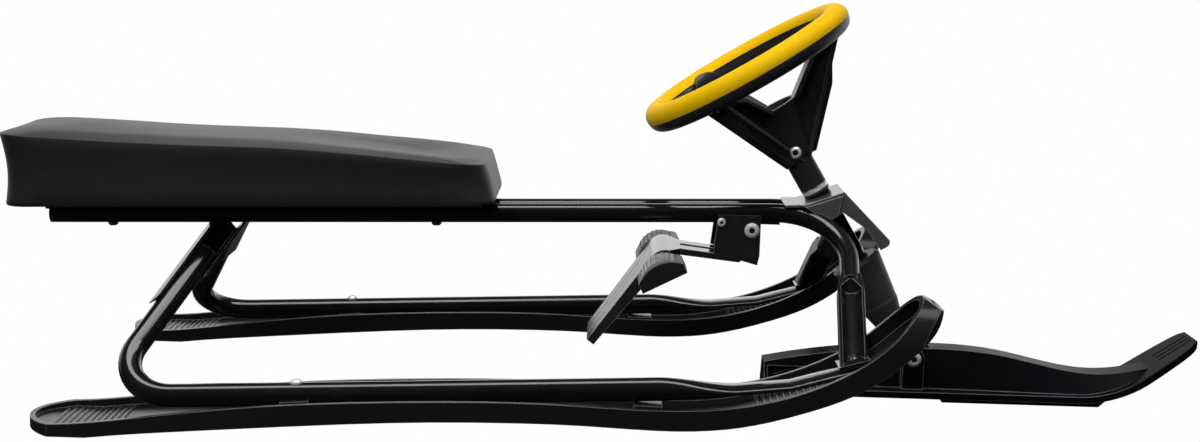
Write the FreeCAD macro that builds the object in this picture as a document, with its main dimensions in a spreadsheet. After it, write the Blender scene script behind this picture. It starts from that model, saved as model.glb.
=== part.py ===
import FreeCAD, Part
import math
import os
import re
import Sketcher
from FreeCAD import Placement, Rotation, Vector

doc = FreeCAD.newDocument("steering_sled")
sheet = doc.addObject("Spreadsheet::Sheet", "dims")

# Driving dimensions in millimetres and degrees: x runs forward, y to the rider's left, z up from the snow.
sizes = {
    # fits shared by every piece
    "fit_gap": 0.05,
    "clear_gap": 0.3,
    "overrun": 6,
    # rails and the pressed front legs
    "rail_dia": 19,
    "rail_wall": 1.5,
    "rail_spread": 36,
    "rail_rear_x": -564,
    "rail_rear_z": 168.1,
    "rail_rise": 1.78,
    "rail_corner_x": 234.6,
    "rail_bend": 70,
    "leg_tube_run": 24,
    "leg_width": 26,
    "leg_depth": 14,
    "leg_edge": 3,
    "leg_shoulder": 24,
    "leg_groove_width": 20,
    "leg_groove_depth": 9,
    "leg_groove_start": 7,
    "leg_groove_point": 14,
    "foot_length": 30,
    "foot_width": 30,
    "foot_thick": 4,
    "plug_flange": 3,
    "plug_depth": 14,
    # runner tubes: rear leg, tube along the runner, flattened front end
    "tube_dia": 22,
    "tube_wall": 1.5,
    "tube_corner_x": -472.3,
    "tube_corner_z": 26.6,
    "tube_rise": 2.6,
    "tube_bend": 46,
    "tube_top_x": -391,
    "tube_top_y": 26,
    "tube_top_fall": 4,
    "tube_top_drop": 38,
    "strap_z": 52,
    "strap_knee_z": 57.6,
    "strap_foot_z": 74.654,
    "strap_width": 34,
    "strap_thick": 9,
    # rear leg brackets and the plate between the rails above them
    "bracket_sheet": 2.5,
    "bracket_length": 118,
    "bracket_front_length": 62,
    "bracket_lip": 7,
    "bracket_roll": 38,
    "cross_length": 44,
    "cross_thick": 4,
    # runners
    "track": 410,
    "runner_rear_x": -534.5,
    "runner_length": 837,
    "runner_rise": 145,
    "runner_width": 95,
    "runner_wall": 4.5,
    "runner_floor": 6,
    "runner_tip_back": 4,
    "runner_rear_round": 26,
    "runner_front_round": 24,
    "runner_tip_round": 40,
    "saddle_length": 26,
    "saddle_width": 34,
    "saddle_height": 9,
    "rib_height": 1.2,
    "rib_length": 2.5,
    "rib_pitch": 6,
    "rib_inset": 12,
    # seat
    "board_thick": 5,
    "board_width": 112,
    "board_rear_x": -562,
    "board_front_x": -132,
    "cushion_rear_x": -602.5,
    "cushion_front_x": -114.5,
    "cushion_width": 168,
    "cushion_rear_rise": 63.5,
    "cushion_front_rise": 38,
    "cushion_corner": 26,
    "cushion_tuck": 9,
    "cushion_waist": 4,
    "cushion_nose": 7,
    "cushion_bulge": 11,
    "cushion_bevel": 7,
    "cushion_crown": 5,
    "cushion_crown_inset": 34,
    "seat_bolt_rear_x": -505,
    "seat_bolt_front_x": -179,
    "seat_bolt_head": 10,
    "seat_bolt_head_height": 3,
    # steering head
    "head_x": 204.9,
    "head_z": 210.7,
    "head_rake": 31.5,
    "head_sheet": 2.5,
    "head_width": 64,
    "head_floor_width": 36,
    "head_back": 20,
    "head_front": 23,
    "head_drop": 78,
    "head_nose": 39,
    "head_fall": 8,
    "head_throat": 24,
    "tongue_reach": 15,
    "tongue_lift": 8,
    "head_tube_dia": 26,
    "head_tube_bore": 19,
    "head_tube_rise": 0.2,
    "bush_flange_dia": 28,
    "bush_flange": 2,
    "bush_length": 18,
    "gusset_thick": 2.5,
    # steering column
    "shaft_dia": 15,
    "shaft_top": 80,
    "washer_dia": 26,
    "washer_thick": 1.5,
    "column_nut_across": 24,
    "column_nut_height": 3.5,
    "cover_top_dia": 52,
    "cover_low_dia": 40,
    "cover_length": 50,
    "cover_wall": 3,
    "collar_low_dia": 30,
    "collar_length": 22,
    # steering wheel
    "wheel_rise": 147,
    "wheel_dia": 229,
    "rim_dia": 25.6,
    "core_inset": 0.6,
    "core_drop": 3,
    "rim_split": 3,
    "rim_split_inner": 4.5,
    "sleeve_dia": 28,
    "sleeve_top": 44,
    "hub_low_dia": 36,
    "hub_top_dia": 60,
    "hub_top": 98,
    "hub_wall": 5,
    "hub_pit": 22,
    "arm_web": 7,
    "arm_flange_width": 30,
    "arm_flange": 4,
    "arm_rib_width": 22,
    "arm_low": 36,
    "arm_keel": 9,
    "arm_end_radius": 96,
    "arm_end_low": 131,
    "arm_inner_radius": 62,
    "arm_inner_rise": 127,
    "arm_end_high": 139,
    "boss_width": 34,
    "boss_shell": 2.5,
    "boss_shift": 3,
    "boss_top": 9,
    "hub_bolt_rise": 49,
    "rim_screw_radius": 92,
    # front ski and its yoke
    "ski_pivot_x": 308,
    "ski_pivot_z": 46.9,
    "yoke_width": 26,
    "yoke_eye_dia": 30,
    "yoke_neck_dia": 26,
    "ski_rear_x": 157.5,
    "ski_width": 80,
    "ski_base": 7,
    "ski_keel_depth": 8.5,
    "ski_keel_width": 34,
    "ski_keel_x": 341,
    "ski_keel_run": 26,
    "ski_keel_lead": 52,
    "ski_nose_x": 475,
    "ski_nose_bend": 126,
    "ski_nose_angle": 35,
    "ski_tip_run": 63.6,
    "ski_taper": 105,
    "ski_rear_round": 14,
    "spine_top_width": 29,
    "spine_base_width": 50,
    "spine_rear_z": 37,
    "spine_peak_x": 327,
    "spine_peak_z": 55.5,
    "spine_mid_x": 399,
    "spine_mid_z": 50.5,
    "spine_low_x": 468.7,
    "spine_low_z": 36.5,
    "spine_end_x": 556,
    "spine_pocket": 9,
    "spine_rib": 4,
    "groove_width": 3,
    "groove_pitch": 10,
    "groove_floor": 4.5,
    "saddle_slot_rear_x": 258,
    "saddle_floor_z": 24,
    "pivot_boss_dia": 22,
    "pivot_boss_width": 56,
    "pivot_shank": 8,
    # brake
    "brake_pivot_x": 138.2,
    "brake_pivot_z": 174,
    "brake_pivot_shank": 8,
    "box_sheet": 2,
    "box_rear_x": 102.5,
    "box_front_x": 147,
    "box_rear_low_z": 150,
    "box_front_low_z": 138.4,
    "box_lap": 10,
    "box_tab": 20,
    "lever_arm": 12,
    "lever_plate": 6,
    "lever_slot": 12,
    "lever_knee_x": 126,
    "lever_knee_z": 143.5,
    "lever_neck_x": 68,
    "lever_shoulder_x": 56,
    "lever_width": 98,
    "lever_round": 16,
    "bridge_x": 104,
    "bridge_length": 10,
    "elbow_x": 44,
    "elbow_z": 155.7,
    "claw_tip_x": -24,
    "claw_tip_z": 59.5,
    "claw_tip_width": 80,
    "claw_depth": 14,
    "claw_tip_depth": 8.5,
    "claw_groove": 3,
    "claw_groove_depth": 3,
    "claw_groove_pitch": 26,
    "pedal_width": 50,
    "pedal_length": 48,
    "pedal_height": 22,
    "pedal_x": 72,
    "pedal_z": 141,
    "pedal_tilt": 27.5,
    "tread_thick": 3,
    "tread_edge": 4,
    "spring_wire": 1.6,
    "spring_gap": 2.2,
    # screws and bolts
    "screw_shank": 5,
    "screw_head": 11,
    "screw_head_height": 3.6,
    "screw_sink": 0.8,
    "bolt_shank": 6,
    "bolt_head": 12,
    "bolt_head_height": 4,
    "bolt_recess": 6,
    "bolt_recess_depth": 2.2,
    "pivot_head": 15,
    "pivot_head_height": 4.5,
    "nut_across": 10,
    "nut_height": 5,
    "pivot_nut_across": 13,
    "pivot_nut_height": 6.5,
    "rivet_head": 9,
    "rivet_shank": 4,
    "rivet_x": 107.6,
    "rivet_z": 181,
    "rivet_bore": 2.4,
    "rivet_dome": 2,
    "rivet_back": 0.8,
}
for row, (name, number) in enumerate(sizes.items(), 1):
    sheet.set(f"A{row}", name)
    sheet.set(f"B{row}", str(number))
    sheet.setAlias(f"B{row}", name)
doc.recompute()

# Outline of a runner, rear to front: places as shares of its length and of its rise.
sole_shares = [(0.082, 0.007), (0.199, 0.069), (0.338, 0.131), (0.430, 0.162), (0.520, 0.176),
               (0.615, 0.172), (0.708, 0.156), (0.779, 0.192), (0.843, 0.288), (0.905, 0.431),
               (0.922, 0.489), (0.947, 0.598), (0.976, 0.752), (0.989, 0.825), (0.998, 0.930)]
heel_shares = [(0, 0.014), (0.030, 0), (0.072, 0)]
rim_shares = [(0, 0.080), (0.046, 0.083), (0.132, 0.141), (0.251, 0.227), (0.412, 0.288), (0.584, 0.302),
              (0.713, 0.286), (0.799, 0.343), (0.883, 0.517), (0.925, 0.673), (0.955, 0.845), (0.977, 1)]
saddle_shares = [0.292, 0.680]
screw_share = 0.292
# The tube along a runner: where it starts to flatten, is flat, bends up, carries the foot and ends.
tube_press_share, strap_share, strap_knee_share = 0.692, 0.77563, 0.83644
foot_share, strap_end_share = 0.90657, 0.92055
neck_shares = [0.2, 0.4, 0.6, 0.8, 1]
taper_shares = [(0, 1), (0.45, 0.96), (0.74, 0.86), (0.93, 0.66), (0.985, 0.4), (1, 0)]
groove_shares = (0.27, 0.88)
# The ski's spine: its half width at the foot, then its height along the nose as it runs out.
spine_foot_shares = [1, 0.92, 1.08, 1.3, 1.3, 1.26, 1.2, 1.05]
spine_nose_shares = [(0.33, 0.79), (0.54, 0.6), (0.75, 0.33), (1, -0.07)]
spine_stations = 20
rear_tread_shares = (0.03, 0.115)
front_tread_shares = (0.80, 0.90)

# The keel under a wheel arm: places as shares of the arm and of the keel's depth.
arm_keel_shares = [(0.03, 0), (0.12, 1), (0.66, 1), (0.80, 0)]

nodes = {}


class Sizes:
    def __getattr__(self, name):
        return float(sheet.get(name))


dim = Sizes()


def bound(expression):
    """Write each size's name in an expression as a cell of the sheet."""
    return re.sub(r"\b(?!cos\b|sin\b|tan\b|deg\b)([a-z][a-z_0-9]+)", r"dims.\1", expression)


def value(expression):
    return float(sheet.evalExpression(bound(expression)))


def add(label, thing):
    thing.Label = label
    nodes[label] = thing
    return thing


def feature(label, shape):
    """A sub-part whose shape is made by sweeping, lofting or cutting."""
    thing = doc.addObject("Part::Feature", label)
    thing.Shape = shape
    return add(label, thing)


def mirrored(label, source):
    thing = doc.addObject("Part::Mirroring", label)
    thing.Source = source
    thing.Normal = Vector(0, 1, 0)
    return add(label, thing)


def body_at(label, placement=Placement()):
    body = doc.addObject("PartDesign::Body", label)
    body.Placement = placement
    return body


def sketch_on(body, role, name, offset=None):
    plane = next(part for part in body.Origin.OriginFeatures if part.Role == role)
    sketch = body.newObject("Sketcher::SketchObject", name)
    sketch.AttachmentSupport = [(plane, "")]
    sketch.MapMode = "FlatFace"
    if offset:
        sketch.setExpression("AttachmentOffset.Base.z", bound(offset))
    return sketch


def pin_point(sketch, geometry, point, x, y):
    for direction, expression in (("DistanceX", x), ("DistanceY", y)):
        place = Sketcher.Constraint(direction, -1, 1, geometry, point, value(expression))
        row = sketch.addConstraint(place)
        if re.search("[a-z]", expression):
            sketch.setExpression(f"Constraints[{row}]", bound(expression))


def polygon(sketch, corners):
    """A closed outline whose corners are expressions on the sheet's sizes."""
    points = [Vector(value(x), value(y), 0) for x, y in corners]
    first = sketch.GeometryCount
    count = len(points)
    for step in range(count):
        sketch.addGeometry(Part.LineSegment(points[step], points[(step + 1) % count]), False)
    for step in range(count):
        sketch.addConstraint(Sketcher.Constraint("Coincident", first + step, 2, first + (step + 1) % count,
                                                 1))
    for step, (x, y) in enumerate(corners):
        pin_point(sketch, first + step, 1, x, y)
    return sketch


def circle(sketch, x, y, diameter):
    where = Vector(value(x), value(y), 0)
    row = sketch.addGeometry(Part.Circle(where, Vector(0, 0, 1), value(diameter) / 2), False)
    pin_point(sketch, row, 3, x, y)
    size = sketch.addConstraint(Sketcher.Constraint("Diameter", row, value(diameter)))
    sketch.setExpression(f"Constraints[{size}]", bound(diameter))
    return sketch


def pad(body, sketch, length, midplane=True):
    thing = body.newObject("PartDesign::Pad", sketch.Name + "_pad")
    thing.Profile = sketch
    thing.setExpression("Length", bound(length))
    thing.Midplane = midplane
    return thing


def pocket(body, sketch, length, midplane=True):
    """A cut that is checked to take something away."""
    doc.recompute()
    before = body.Shape.Volume
    thing = body.newObject("PartDesign::Pocket", sketch.Name + "_pocket")
    thing.Profile = sketch
    thing.setExpression("Length", bound(length))
    thing.Midplane = midplane
    doc.recompute()
    if not body.Shape.Volume < before:
        raise RuntimeError(f"{thing.Name} cuts nothing")
    return thing


def revolve(body, sketch):
    thing = body.newObject("PartDesign::Revolution", sketch.Name + "_turned")
    thing.Profile = sketch
    thing.ReferenceAxis = (sketch, ["V_Axis"])
    thing.Angle = 360
    return thing


def turned_body(label, corners, placement=Placement()):
    """A round piece: an outline of radius and height, turned about its own axis."""
    body = body_at(label, placement)
    revolve(body, polygon(sketch_on(body, "XZ_Plane", label + "_profile"), corners))
    return body


def turned(label, corners, placement):
    return add(label, turned_body(label, corners, placement))


def loose(size):
    """The bore that a round piece of this size fits in."""
    return f"{size} + 2 * fit_gap" if isinstance(size, str) else size + 2 * dim.fit_gap


def hexagon(across):
    radius = f"{across} / 2 / cos(30 deg)"
    return [(f"{radius} * cos({60 * step} deg)", f"{radius} * sin({60 * step} deg)") for step in range(6)]


def nut_body(label, across, height, bore, placement):
    body = body_at(label, placement)
    pad(body, polygon(sketch_on(body, "XY_Plane", label + "_hexagon"), hexagon(across)), height, False)
    pocket(body, circle(sketch_on(body, "XY_Plane", label + "_bore", height), "0", "0", bore), height,
           False)
    return body


def bolt_body(label, shank, grip, head, head_height):
    """A domed bolt with its head above zero and a round socket in it."""
    body = body_at(label)
    recess, recess_depth = "bolt_recess", "bolt_recess_depth"
    corners = [("0", f"-({grip})"), (f"{shank} / 2", f"-({grip})"), (f"{shank} / 2", "0"),
               (f"{head} / 2", "0"), (f"{head} / 2", f"{head_height} / 2"), (f"{head} / 3", head_height),
               (f"{recess} / 2", head_height), (f"{recess} / 2", f"{head_height} - {recess_depth}"),
               ("0", f"{head_height} - {recess_depth}")]
    revolve(body, polygon(sketch_on(body, "XZ_Plane", label + "_profile"), corners))
    return body


def group(label, master, places):
    """Several like fasteners as separate solids of one node."""
    doc.recompute()
    solids = []
    for place in places:
        solid = master.Shape.Solids[0].copy()
        solid.Placement = place * solid.Placement
        solids.append(solid)
    return feature(label, solids[0] if len(solids) == 1 else Part.makeCompound(solids))


def bent_path(points, bend):
    """Straight runs between the points, joined by tangent arcs of one radius."""
    edges = []
    here = points[0]
    for before, corner, after in zip(points, points[1:], points[2:]):
        arrive = (corner - before).normalize()
        leave = (after - corner).normalize()
        turn = arrive.getAngle(leave)
        reach = bend * math.tan(turn / 2)
        inward = (leave - arrive).normalize()
        centre = corner + inward * (bend / math.cos(turn / 2))
        start, end = corner - arrive * reach, corner + leave * reach
        edges.append(Part.LineSegment(here, start).toShape())
        edges.append(Part.Arc(start, centre - inward * bend, end).toShape())
        here = end
    edges.append(Part.LineSegment(here, points[-1]).toShape())
    return Part.Wire(edges)


def rod(path, diameter):
    """A round bar along a path."""
    edge = path.Edges[0]
    ring = Part.makeCircle(diameter / 2, edge.valueAt(edge.FirstParameter),
                           edge.tangentAt(edge.FirstParameter))
    return path.makePipeShell([Part.Wire(ring)], True, False)


def cylinder(diameter, start, end):
    run = end - start
    return Part.makeCylinder(diameter / 2, run.Length, start, run)


def block(frame, x, y, z):
    """A box in a local frame, given the ends of its three sides."""
    box = Part.makeBox(x[1] - x[0], y[1] - y[0], z[1] - z[0], Vector(x[0], y[0], z[0]))
    box.Placement = frame * box.Placement
    return box


def slab(outline, half_width):
    """A side outline in x and z, as wide as twice the half width about y zero."""
    face = Part.Face(Part.makePolygon(outline + outline[:1]))
    solid = face.extrude(Vector(0, 2 * half_width, 0))
    solid.translate(Vector(0, -half_width, 0))
    return solid


# Shared places: the rails' line, the steering axis and the middle of a runner.
rail_side = dim.rail_spread / 2
runner_side = dim.track / 2
rail_frame = Placement(Vector(dim.rail_rear_x, 0, dim.rail_rear_z),
                       Rotation(Vector(0, 1, 0), -dim.rail_rise))
steering = Placement(Vector(dim.head_x, 0, dim.head_z), Rotation(Vector(0, 1, 0), -dim.head_rake))
facing_right = Rotation(Vector(1, 0, 0), 90)
facing_left = Rotation(Vector(1, 0, 0), -90)


def rail_height(x):
    return dim.rail_rear_z + (x - dim.rail_rear_x) * math.tan(math.radians(dim.rail_rise))


def tube_height(x):
    return dim.tube_corner_z + (x - dim.tube_corner_x) * math.tan(math.radians(dim.tube_rise))


def runner_x(share):
    return dim.runner_rear_x + share * dim.runner_length


def runner_point(share):
    return Vector(runner_x(share[0]), 0, share[1] * dim.runner_rise)


# The strap's slope at the foot gives the frame in which foot, strap and screw line up.
press_x, strap_x, knee_x = runner_x(tube_press_share), runner_x(strap_share), runner_x(strap_knee_share)
foot_x, strap_end_x = runner_x(foot_share), runner_x(strap_end_share)
strap_rise = (dim.strap_foot_z - dim.strap_knee_z) / (foot_x - knee_x)
foot_up = dim.strap_thick / 2 + dim.fit_gap
foot_frame = Placement(Vector(foot_x, -runner_side, dim.strap_foot_z),
                       Rotation(Vector(0, 1, 0), -math.degrees(math.atan(strap_rise))))
foot_top = foot_up + dim.foot_thick
screw_frame = Placement(Vector(runner_x(screw_share), -runner_side, tube_height(runner_x(screw_share))),
                        Rotation(Vector(0, 1, 0), -dim.tube_rise))
screw_seat = dim.tube_dia / 2 - dim.screw_sink
tube_screw_grip = dim.tube_dia - dim.screw_sink + dim.runner_floor / 2
foot_screw_grip = foot_top + dim.strap_thick / 2 + dim.runner_floor / 2


def screw_hole(frame, seat, grip):
    """Room for a screw: its shank, and a flat seat for its head."""
    shank = cylinder(loose(dim.screw_shank), Vector(0, 0, seat - grip - dim.fit_gap), Vector(0, 0, seat))
    head = cylinder(loose(dim.screw_head), Vector(0, 0, seat), Vector(0, 0, seat + dim.tube_dia))
    hole = shank.fuse(head)
    hole.Placement = frame
    return hole


tube_screw_hole = screw_hole(screw_frame, screw_seat, tube_screw_grip)
foot_screw_hole = screw_hole(foot_frame, foot_top, foot_screw_grip)


def seat_bolt_frames():
    """Where the seat bolts come up through the rails, with their heads below."""
    frames = []
    for x in (dim.seat_bolt_rear_x, dim.seat_bolt_front_x):
        for side in (-rail_side, rail_side):
            local = Placement(Vector(x - dim.rail_rear_x, side, -dim.rail_dia / 2),
                              Rotation(Vector(1, 0, 0), 180))
            frames.append(rail_frame * local)
    return frames


def seat_bolt_holes():
    depth = dim.rail_dia + dim.board_thick / 2 + dim.fit_gap
    holes = []
    for frame in seat_bolt_frames():
        hole = cylinder(loose(dim.bolt_shank), Vector(0, 0, dim.overrun), Vector(0, 0, -depth))
        hole.Placement = frame
        holes.append(hole)
    return holes


def rail_points():
    corner = Vector(dim.rail_corner_x, -rail_side, rail_height(dim.rail_corner_x))
    foot = foot_frame.multVec(Vector(0, 0, foot_up + dim.foot_thick / 2))
    return Vector(dim.rail_rear_x, -rail_side, dim.rail_rear_z), corner, foot


def make_rail():
    """Rail tube, bent down and out, then pressed to a channel that stands on a foot."""
    rear, corner, foot = rail_points()
    down = (foot - corner).normalize()
    along = (corner - rear).normalize()
    reach = dim.rail_bend * math.tan(along.getAngle(down) / 2)
    press = corner + down * (reach + dim.leg_tube_run)
    path = bent_path([rear, corner, press + down * dim.leg_groove_start], dim.rail_bend)
    tube = rod(path, dim.rail_dia).cut(rod(path, dim.rail_dia - 2 * dim.rail_wall))
    across = (Vector(1, 0, 0) - down * down.x).normalize()
    leg_frame = Placement(press, Rotation(across, across.cross(down) * -1, down, "ZXY"))
    length = (foot - press).Length + dim.leg_depth
    half, deep = dim.leg_width / 2, dim.leg_depth / 2
    leg = Part.makeBox(dim.leg_width, dim.leg_depth, length, Vector(-half, -deep, 0))
    long_edges = [edge for edge in leg.Edges if abs(edge.tangentAt(edge.FirstParameter).z) > 0.5]
    leg = leg.makeFillet(dim.leg_edge, long_edges)
    neck = dim.rail_dia / 2
    taper = [Vector(-neck, -deep, 0), Vector(neck, -deep, 0),
             Vector(half, -deep, dim.leg_shoulder), Vector(half, -deep, length),
             Vector(-half, -deep, length), Vector(-half, -deep, dim.leg_shoulder)]
    leg = leg.common(Part.Face(Part.makePolygon(taper + taper[:1])).extrude(Vector(0, dim.leg_depth, 0)))
    wide, floor, start = dim.leg_groove_width / 2, deep - dim.leg_groove_depth, dim.leg_groove_start
    shoulder = start + dim.leg_groove_point
    middle = floor + wide
    outline = [Vector(0, middle, start), Vector(wide, middle, shoulder), Vector(wide, middle, length),
               Vector(-wide, middle, length), Vector(-wide, middle, shoulder)]
    mouth = Part.Face(Part.makePolygon(outline + outline[:1])).extrude(Vector(0, dim.leg_depth, 0))
    point = Part.makeCone(0, wide, dim.leg_groove_point, Vector(0, middle, start))
    trough = Part.makeCylinder(wide, length - shoulder, Vector(0, middle, shoulder))
    groove = mouth.fuse([point, trough])
    leg.Placement = leg_frame
    groove.Placement = leg_frame
    sole = dim.foot_length / 2
    below = block(foot_frame, (-2 * dim.foot_length, 2 * dim.foot_length), (-dim.track, dim.track),
                  (-dim.leg_depth - dim.foot_length, foot_up + dim.foot_thick / 2))
    foot_plate = block(foot_frame, (-sole, sole), (-dim.foot_width / 2, dim.foot_width / 2),
                       (foot_up, foot_top))
    shape = tube.fuse(leg.cut(groove).cut(below)).fuse(foot_plate)
    return shape.cut([foot_screw_hole] + seat_bolt_holes()).removeSplitter()


def rail_core(gap):
    """The rails' outer form, grown by a gap, for cutting what is welded round them."""
    start, corner, foot = rail_points()
    path = bent_path([start, corner, foot], dim.rail_bend)
    right = rod(path, dim.rail_dia + 2 * gap)
    return [right, right.mirror(Vector(0, 0, 0), Vector(0, 1, 0))]


def leg_root():
    """Where the rear leg's line comes up to the rail."""
    z = rail_height(dim.tube_top_x) - dim.rail_dia / 2 - dim.tube_top_fall
    return Vector(dim.tube_top_x, -dim.tube_top_y, z)


def tube_points():
    corner = Vector(dim.tube_corner_x, -runner_side, dim.tube_corner_z)
    top = leg_root() + (corner - leg_root()).normalize() * dim.tube_top_drop
    press = Vector(press_x, -runner_side, tube_height(press_x))
    return top, corner, press


def oval(centre, along, width, height):
    """A flat oval across a run that lies in the x and z plane."""
    normal = along.cross(Vector(0, 1, 0)).normalize()
    side = centre + Vector(0, width / 2, 0)
    return Part.Wire(Part.Ellipse(side, centre + normal * (height / 2), centre).toShape())


def make_runner_tube():
    """Rear leg and runner tube in one bent piece, pressed flat towards the front foot."""
    top, corner, press = tube_points()
    path = bent_path([top, corner, press], dim.tube_bend)
    tube = rod(path, dim.tube_dia).cut(rod(path, dim.tube_dia - 2 * dim.tube_wall))
    level = (press - corner).normalize()
    rising = Vector(1, 0, strap_rise).normalize()
    knee = Vector(knee_x, -runner_side, dim.strap_knee_z)
    end = Vector(strap_end_x, -runner_side, dim.strap_knee_z + (strap_end_x - knee_x) * strap_rise)
    flat = Vector(strap_x, -runner_side, dim.strap_z)
    between = (level + rising).normalize()
    rings = [Part.Wire(Part.makeCircle(dim.tube_dia / 2, press, level))]
    for share in neck_shares:
        eased = share ** 2 * (3 - 2 * share)
        width = dim.tube_dia + (dim.strap_width - dim.tube_dia) * eased
        height = dim.tube_dia + (dim.strap_thick - dim.tube_dia) * eased
        rings.append(oval(press + (flat - press) * share, level, width, height))
    neck = Part.makeLoft(rings, True, False)
    strap = Part.makeLoft([rings[-1], oval(knee, between, dim.strap_width, dim.strap_thick),
                           oval(end, rising, dim.strap_width, dim.strap_thick)], True, True)
    shape = tube.fuse(neck).fuse(strap)
    return shape.cut([tube_screw_hole, foot_screw_hole])


def leg_bracket_frame():
    """Frame at the top of the rear leg: z down the leg, y out of the channel's open side."""
    top, corner, press = tube_points()
    down = (corner - top).normalize()
    across = (Vector(1, 0, 0) - down * down.x).normalize()
    level = Placement(leg_root(), Rotation(across, down.cross(across), down, "ZXY"))
    return level * Placement(Vector(), Rotation(Vector(0, 0, 1), -dim.bracket_roll))


def make_leg_bracket():
    """Channel under the rail that takes the top of the rear leg, cut away in front."""
    frame = leg_bracket_frame()
    inner = dim.tube_dia / 2 + dim.fit_gap
    outer = inner + dim.bracket_sheet
    up, end = -dim.bracket_length, dim.bracket_length + dim.overrun
    channel = block(frame, (-outer, outer), (-outer, dim.bracket_lip), (up, dim.bracket_length))
    hollow = block(frame, (-inner, inner), (-inner, outer), (2 * up, end))
    slope = [Vector(-outer, -2 * outer, dim.bracket_length), Vector(-outer, -2 * outer, end),
             Vector(outer, -2 * outer, end), Vector(outer, -2 * outer, dim.bracket_front_length)]
    cutaway = Part.Face(Part.makePolygon(slope + slope[:1])).extrude(Vector(0, dim.track, 0))
    cutaway.Placement = frame
    under_rail = rail_frame * Placement(Vector(0, 0, -dim.rail_dia / 2), Rotation())
    above = block(under_rail, (0, -dim.rail_rear_x), (-dim.track, dim.track), (0, dim.track))
    inside = block(Placement(), (dim.rail_rear_x, 0), (dim.rail_dia / 2 - rail_side, dim.track),
                   (0, dim.track))
    return channel.cut([hollow, cutaway, above, inside])


def make_runner():
    """Moulded tray ski with a rim, saddles for the tube and cross ribs to stand on."""
    heel = [runner_point(share) for share in heel_shares]
    sole = [runner_point(share) for share in sole_shares]
    rim = [runner_point(share) for share in rim_shares]
    sole_curve = Part.BSplineCurve()
    sole_curve.interpolate(heel[-1:] + sole)
    rim_curve = Part.BSplineCurve()
    rim_curve.interpolate(rim)
    bottom = [Part.makeLine(heel[0], heel[1]), Part.makeLine(heel[1], heel[2]), sole_curve.toShape()]
    outline = Part.Wire(bottom + [Part.makeLine(sole[-1], rim[-1]), rim_curve.toShape(),
                                  Part.makeLine(rim[0], heel[0])])
    half = dim.runner_width / 2
    raw = Part.Face(outline).extrude(Vector(0, dim.runner_width, 0))
    raw.translate(Vector(0, -half, 0))
    shape = raw.common(runner_plan(0))

    shift = Vector(-dim.runner_tip_back, 0, dim.runner_floor)
    floor = [edge.translated(shift) for edge in bottom]
    high = dim.runner_rise + dim.track
    ends = [heel[0] + shift, sole[-1] + shift]
    lids = [Vector(point.x, 0, high) for point in ends]
    walls = [Part.makeLine(ends[1], lids[1]), Part.makeLine(lids[1], lids[0]),
             Part.makeLine(lids[0], ends[0])]
    tray = Part.Face(Part.Wire(floor + walls)).extrude(Vector(0, dim.runner_width, 0))
    tray.translate(Vector(0, -half, 0))
    shape = shape.cut(tray.common(runner_plan(dim.runner_wall)))

    inside = raw.common(runner_plan(dim.runner_wall)).cut(tray.translated(Vector(0, 0, dim.saddle_height)))
    pads = []
    for x in [runner_x(share) for share in saddle_shares]:
        pads.append(block(Placement(), (x - dim.saddle_length / 2, x + dim.saddle_length / 2),
                          (-dim.saddle_width / 2, dim.saddle_width / 2),
                          (0, dim.runner_rise)).common(inside))
    foot_pad = block(foot_frame, (-dim.foot_length / 2, strap_end_x - foot_x),
                     (-dim.saddle_width / 2, dim.saddle_width / 2), (-dim.foot_length, 0))
    foot_pad.translate(Vector(0, runner_side, 0))
    pads.append(foot_pad.common(inside))
    above_ribs = tray.translated(Vector(0, 0, dim.rib_height))
    tread = raw.common(runner_plan(dim.rib_inset)).cut(above_ribs)
    for first, last in (rear_tread_shares, front_tread_shares):
        count = int((last - first) * dim.runner_length / dim.rib_pitch)
        for step in range(count):
            x = runner_x(first) + step * dim.rib_pitch
            bar = block(Placement(), (x, x + dim.rib_length), (-half, half), (0, dim.runner_rise))
            pads.append(bar.common(tread))
    shape = shape.fuse([pad_solid for pad_solid in pads if pad_solid.Volume > 0])
    shape.translate(Vector(0, -runner_side, 0))

    top, corner, press = tube_points()
    path = bent_path([top, corner, press], dim.tube_bend)
    room = [rod(path, loose(dim.tube_dia)), tube_screw_hole, foot_screw_hole]
    strap_reach = (strap_end_x - foot_x) * math.hypot(1, strap_rise)
    strap_room = block(foot_frame, (-dim.foot_length, strap_reach + 2 * dim.clear_gap),
                       (-dim.strap_width / 2 - dim.clear_gap, dim.strap_width / 2 + dim.clear_gap),
                       (-dim.strap_thick / 2 - dim.fit_gap, dim.track))
    return shape.cut(room + [strap_room])


def runner_plan(inset):
    """A runner seen from above, drawn in by an inset, as a tall prism."""
    rear = dim.runner_rear_x + inset
    front = dim.runner_rear_x + dim.runner_length - inset
    half = dim.runner_width / 2 - inset
    back, fore = rear + dim.runner_rear_round, front - dim.runner_front_round
    edges = [Part.makeLine(Vector(back, -half, 0), Vector(fore, -half, 0)),
             Part.Arc(Vector(fore, -half, 0), Vector(front, 0, 0), Vector(fore, half, 0)).toShape(),
             Part.makeLine(Vector(fore, half, 0), Vector(back, half, 0)),
             Part.Arc(Vector(back, half, 0), Vector(rear, 0, 0), Vector(back, -half, 0)).toShape()]
    prism = Part.Face(Part.Wire(edges)).extrude(Vector(0, 0, 2 * dim.track))
    prism.translate(Vector(0, 0, -dim.track))
    shoulder, top = dim.runner_rise - dim.runner_tip_round - inset, dim.runner_rise - inset
    corners = [Vector(rear, -half, shoulder), Vector(rear, -half, -dim.overrun),
               Vector(rear, half, -dim.overrun), Vector(rear, half, shoulder)]
    sides = [Part.makeLine(start, end) for start, end in zip(corners, corners[1:])]
    crest = Part.Arc(corners[3], Vector(rear, 0, top), corners[0]).toShape()
    return prism.common(Part.Face(Part.Wire(sides + [crest])).extrude(Vector(dim.runner_length, 0, 0)))


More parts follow.
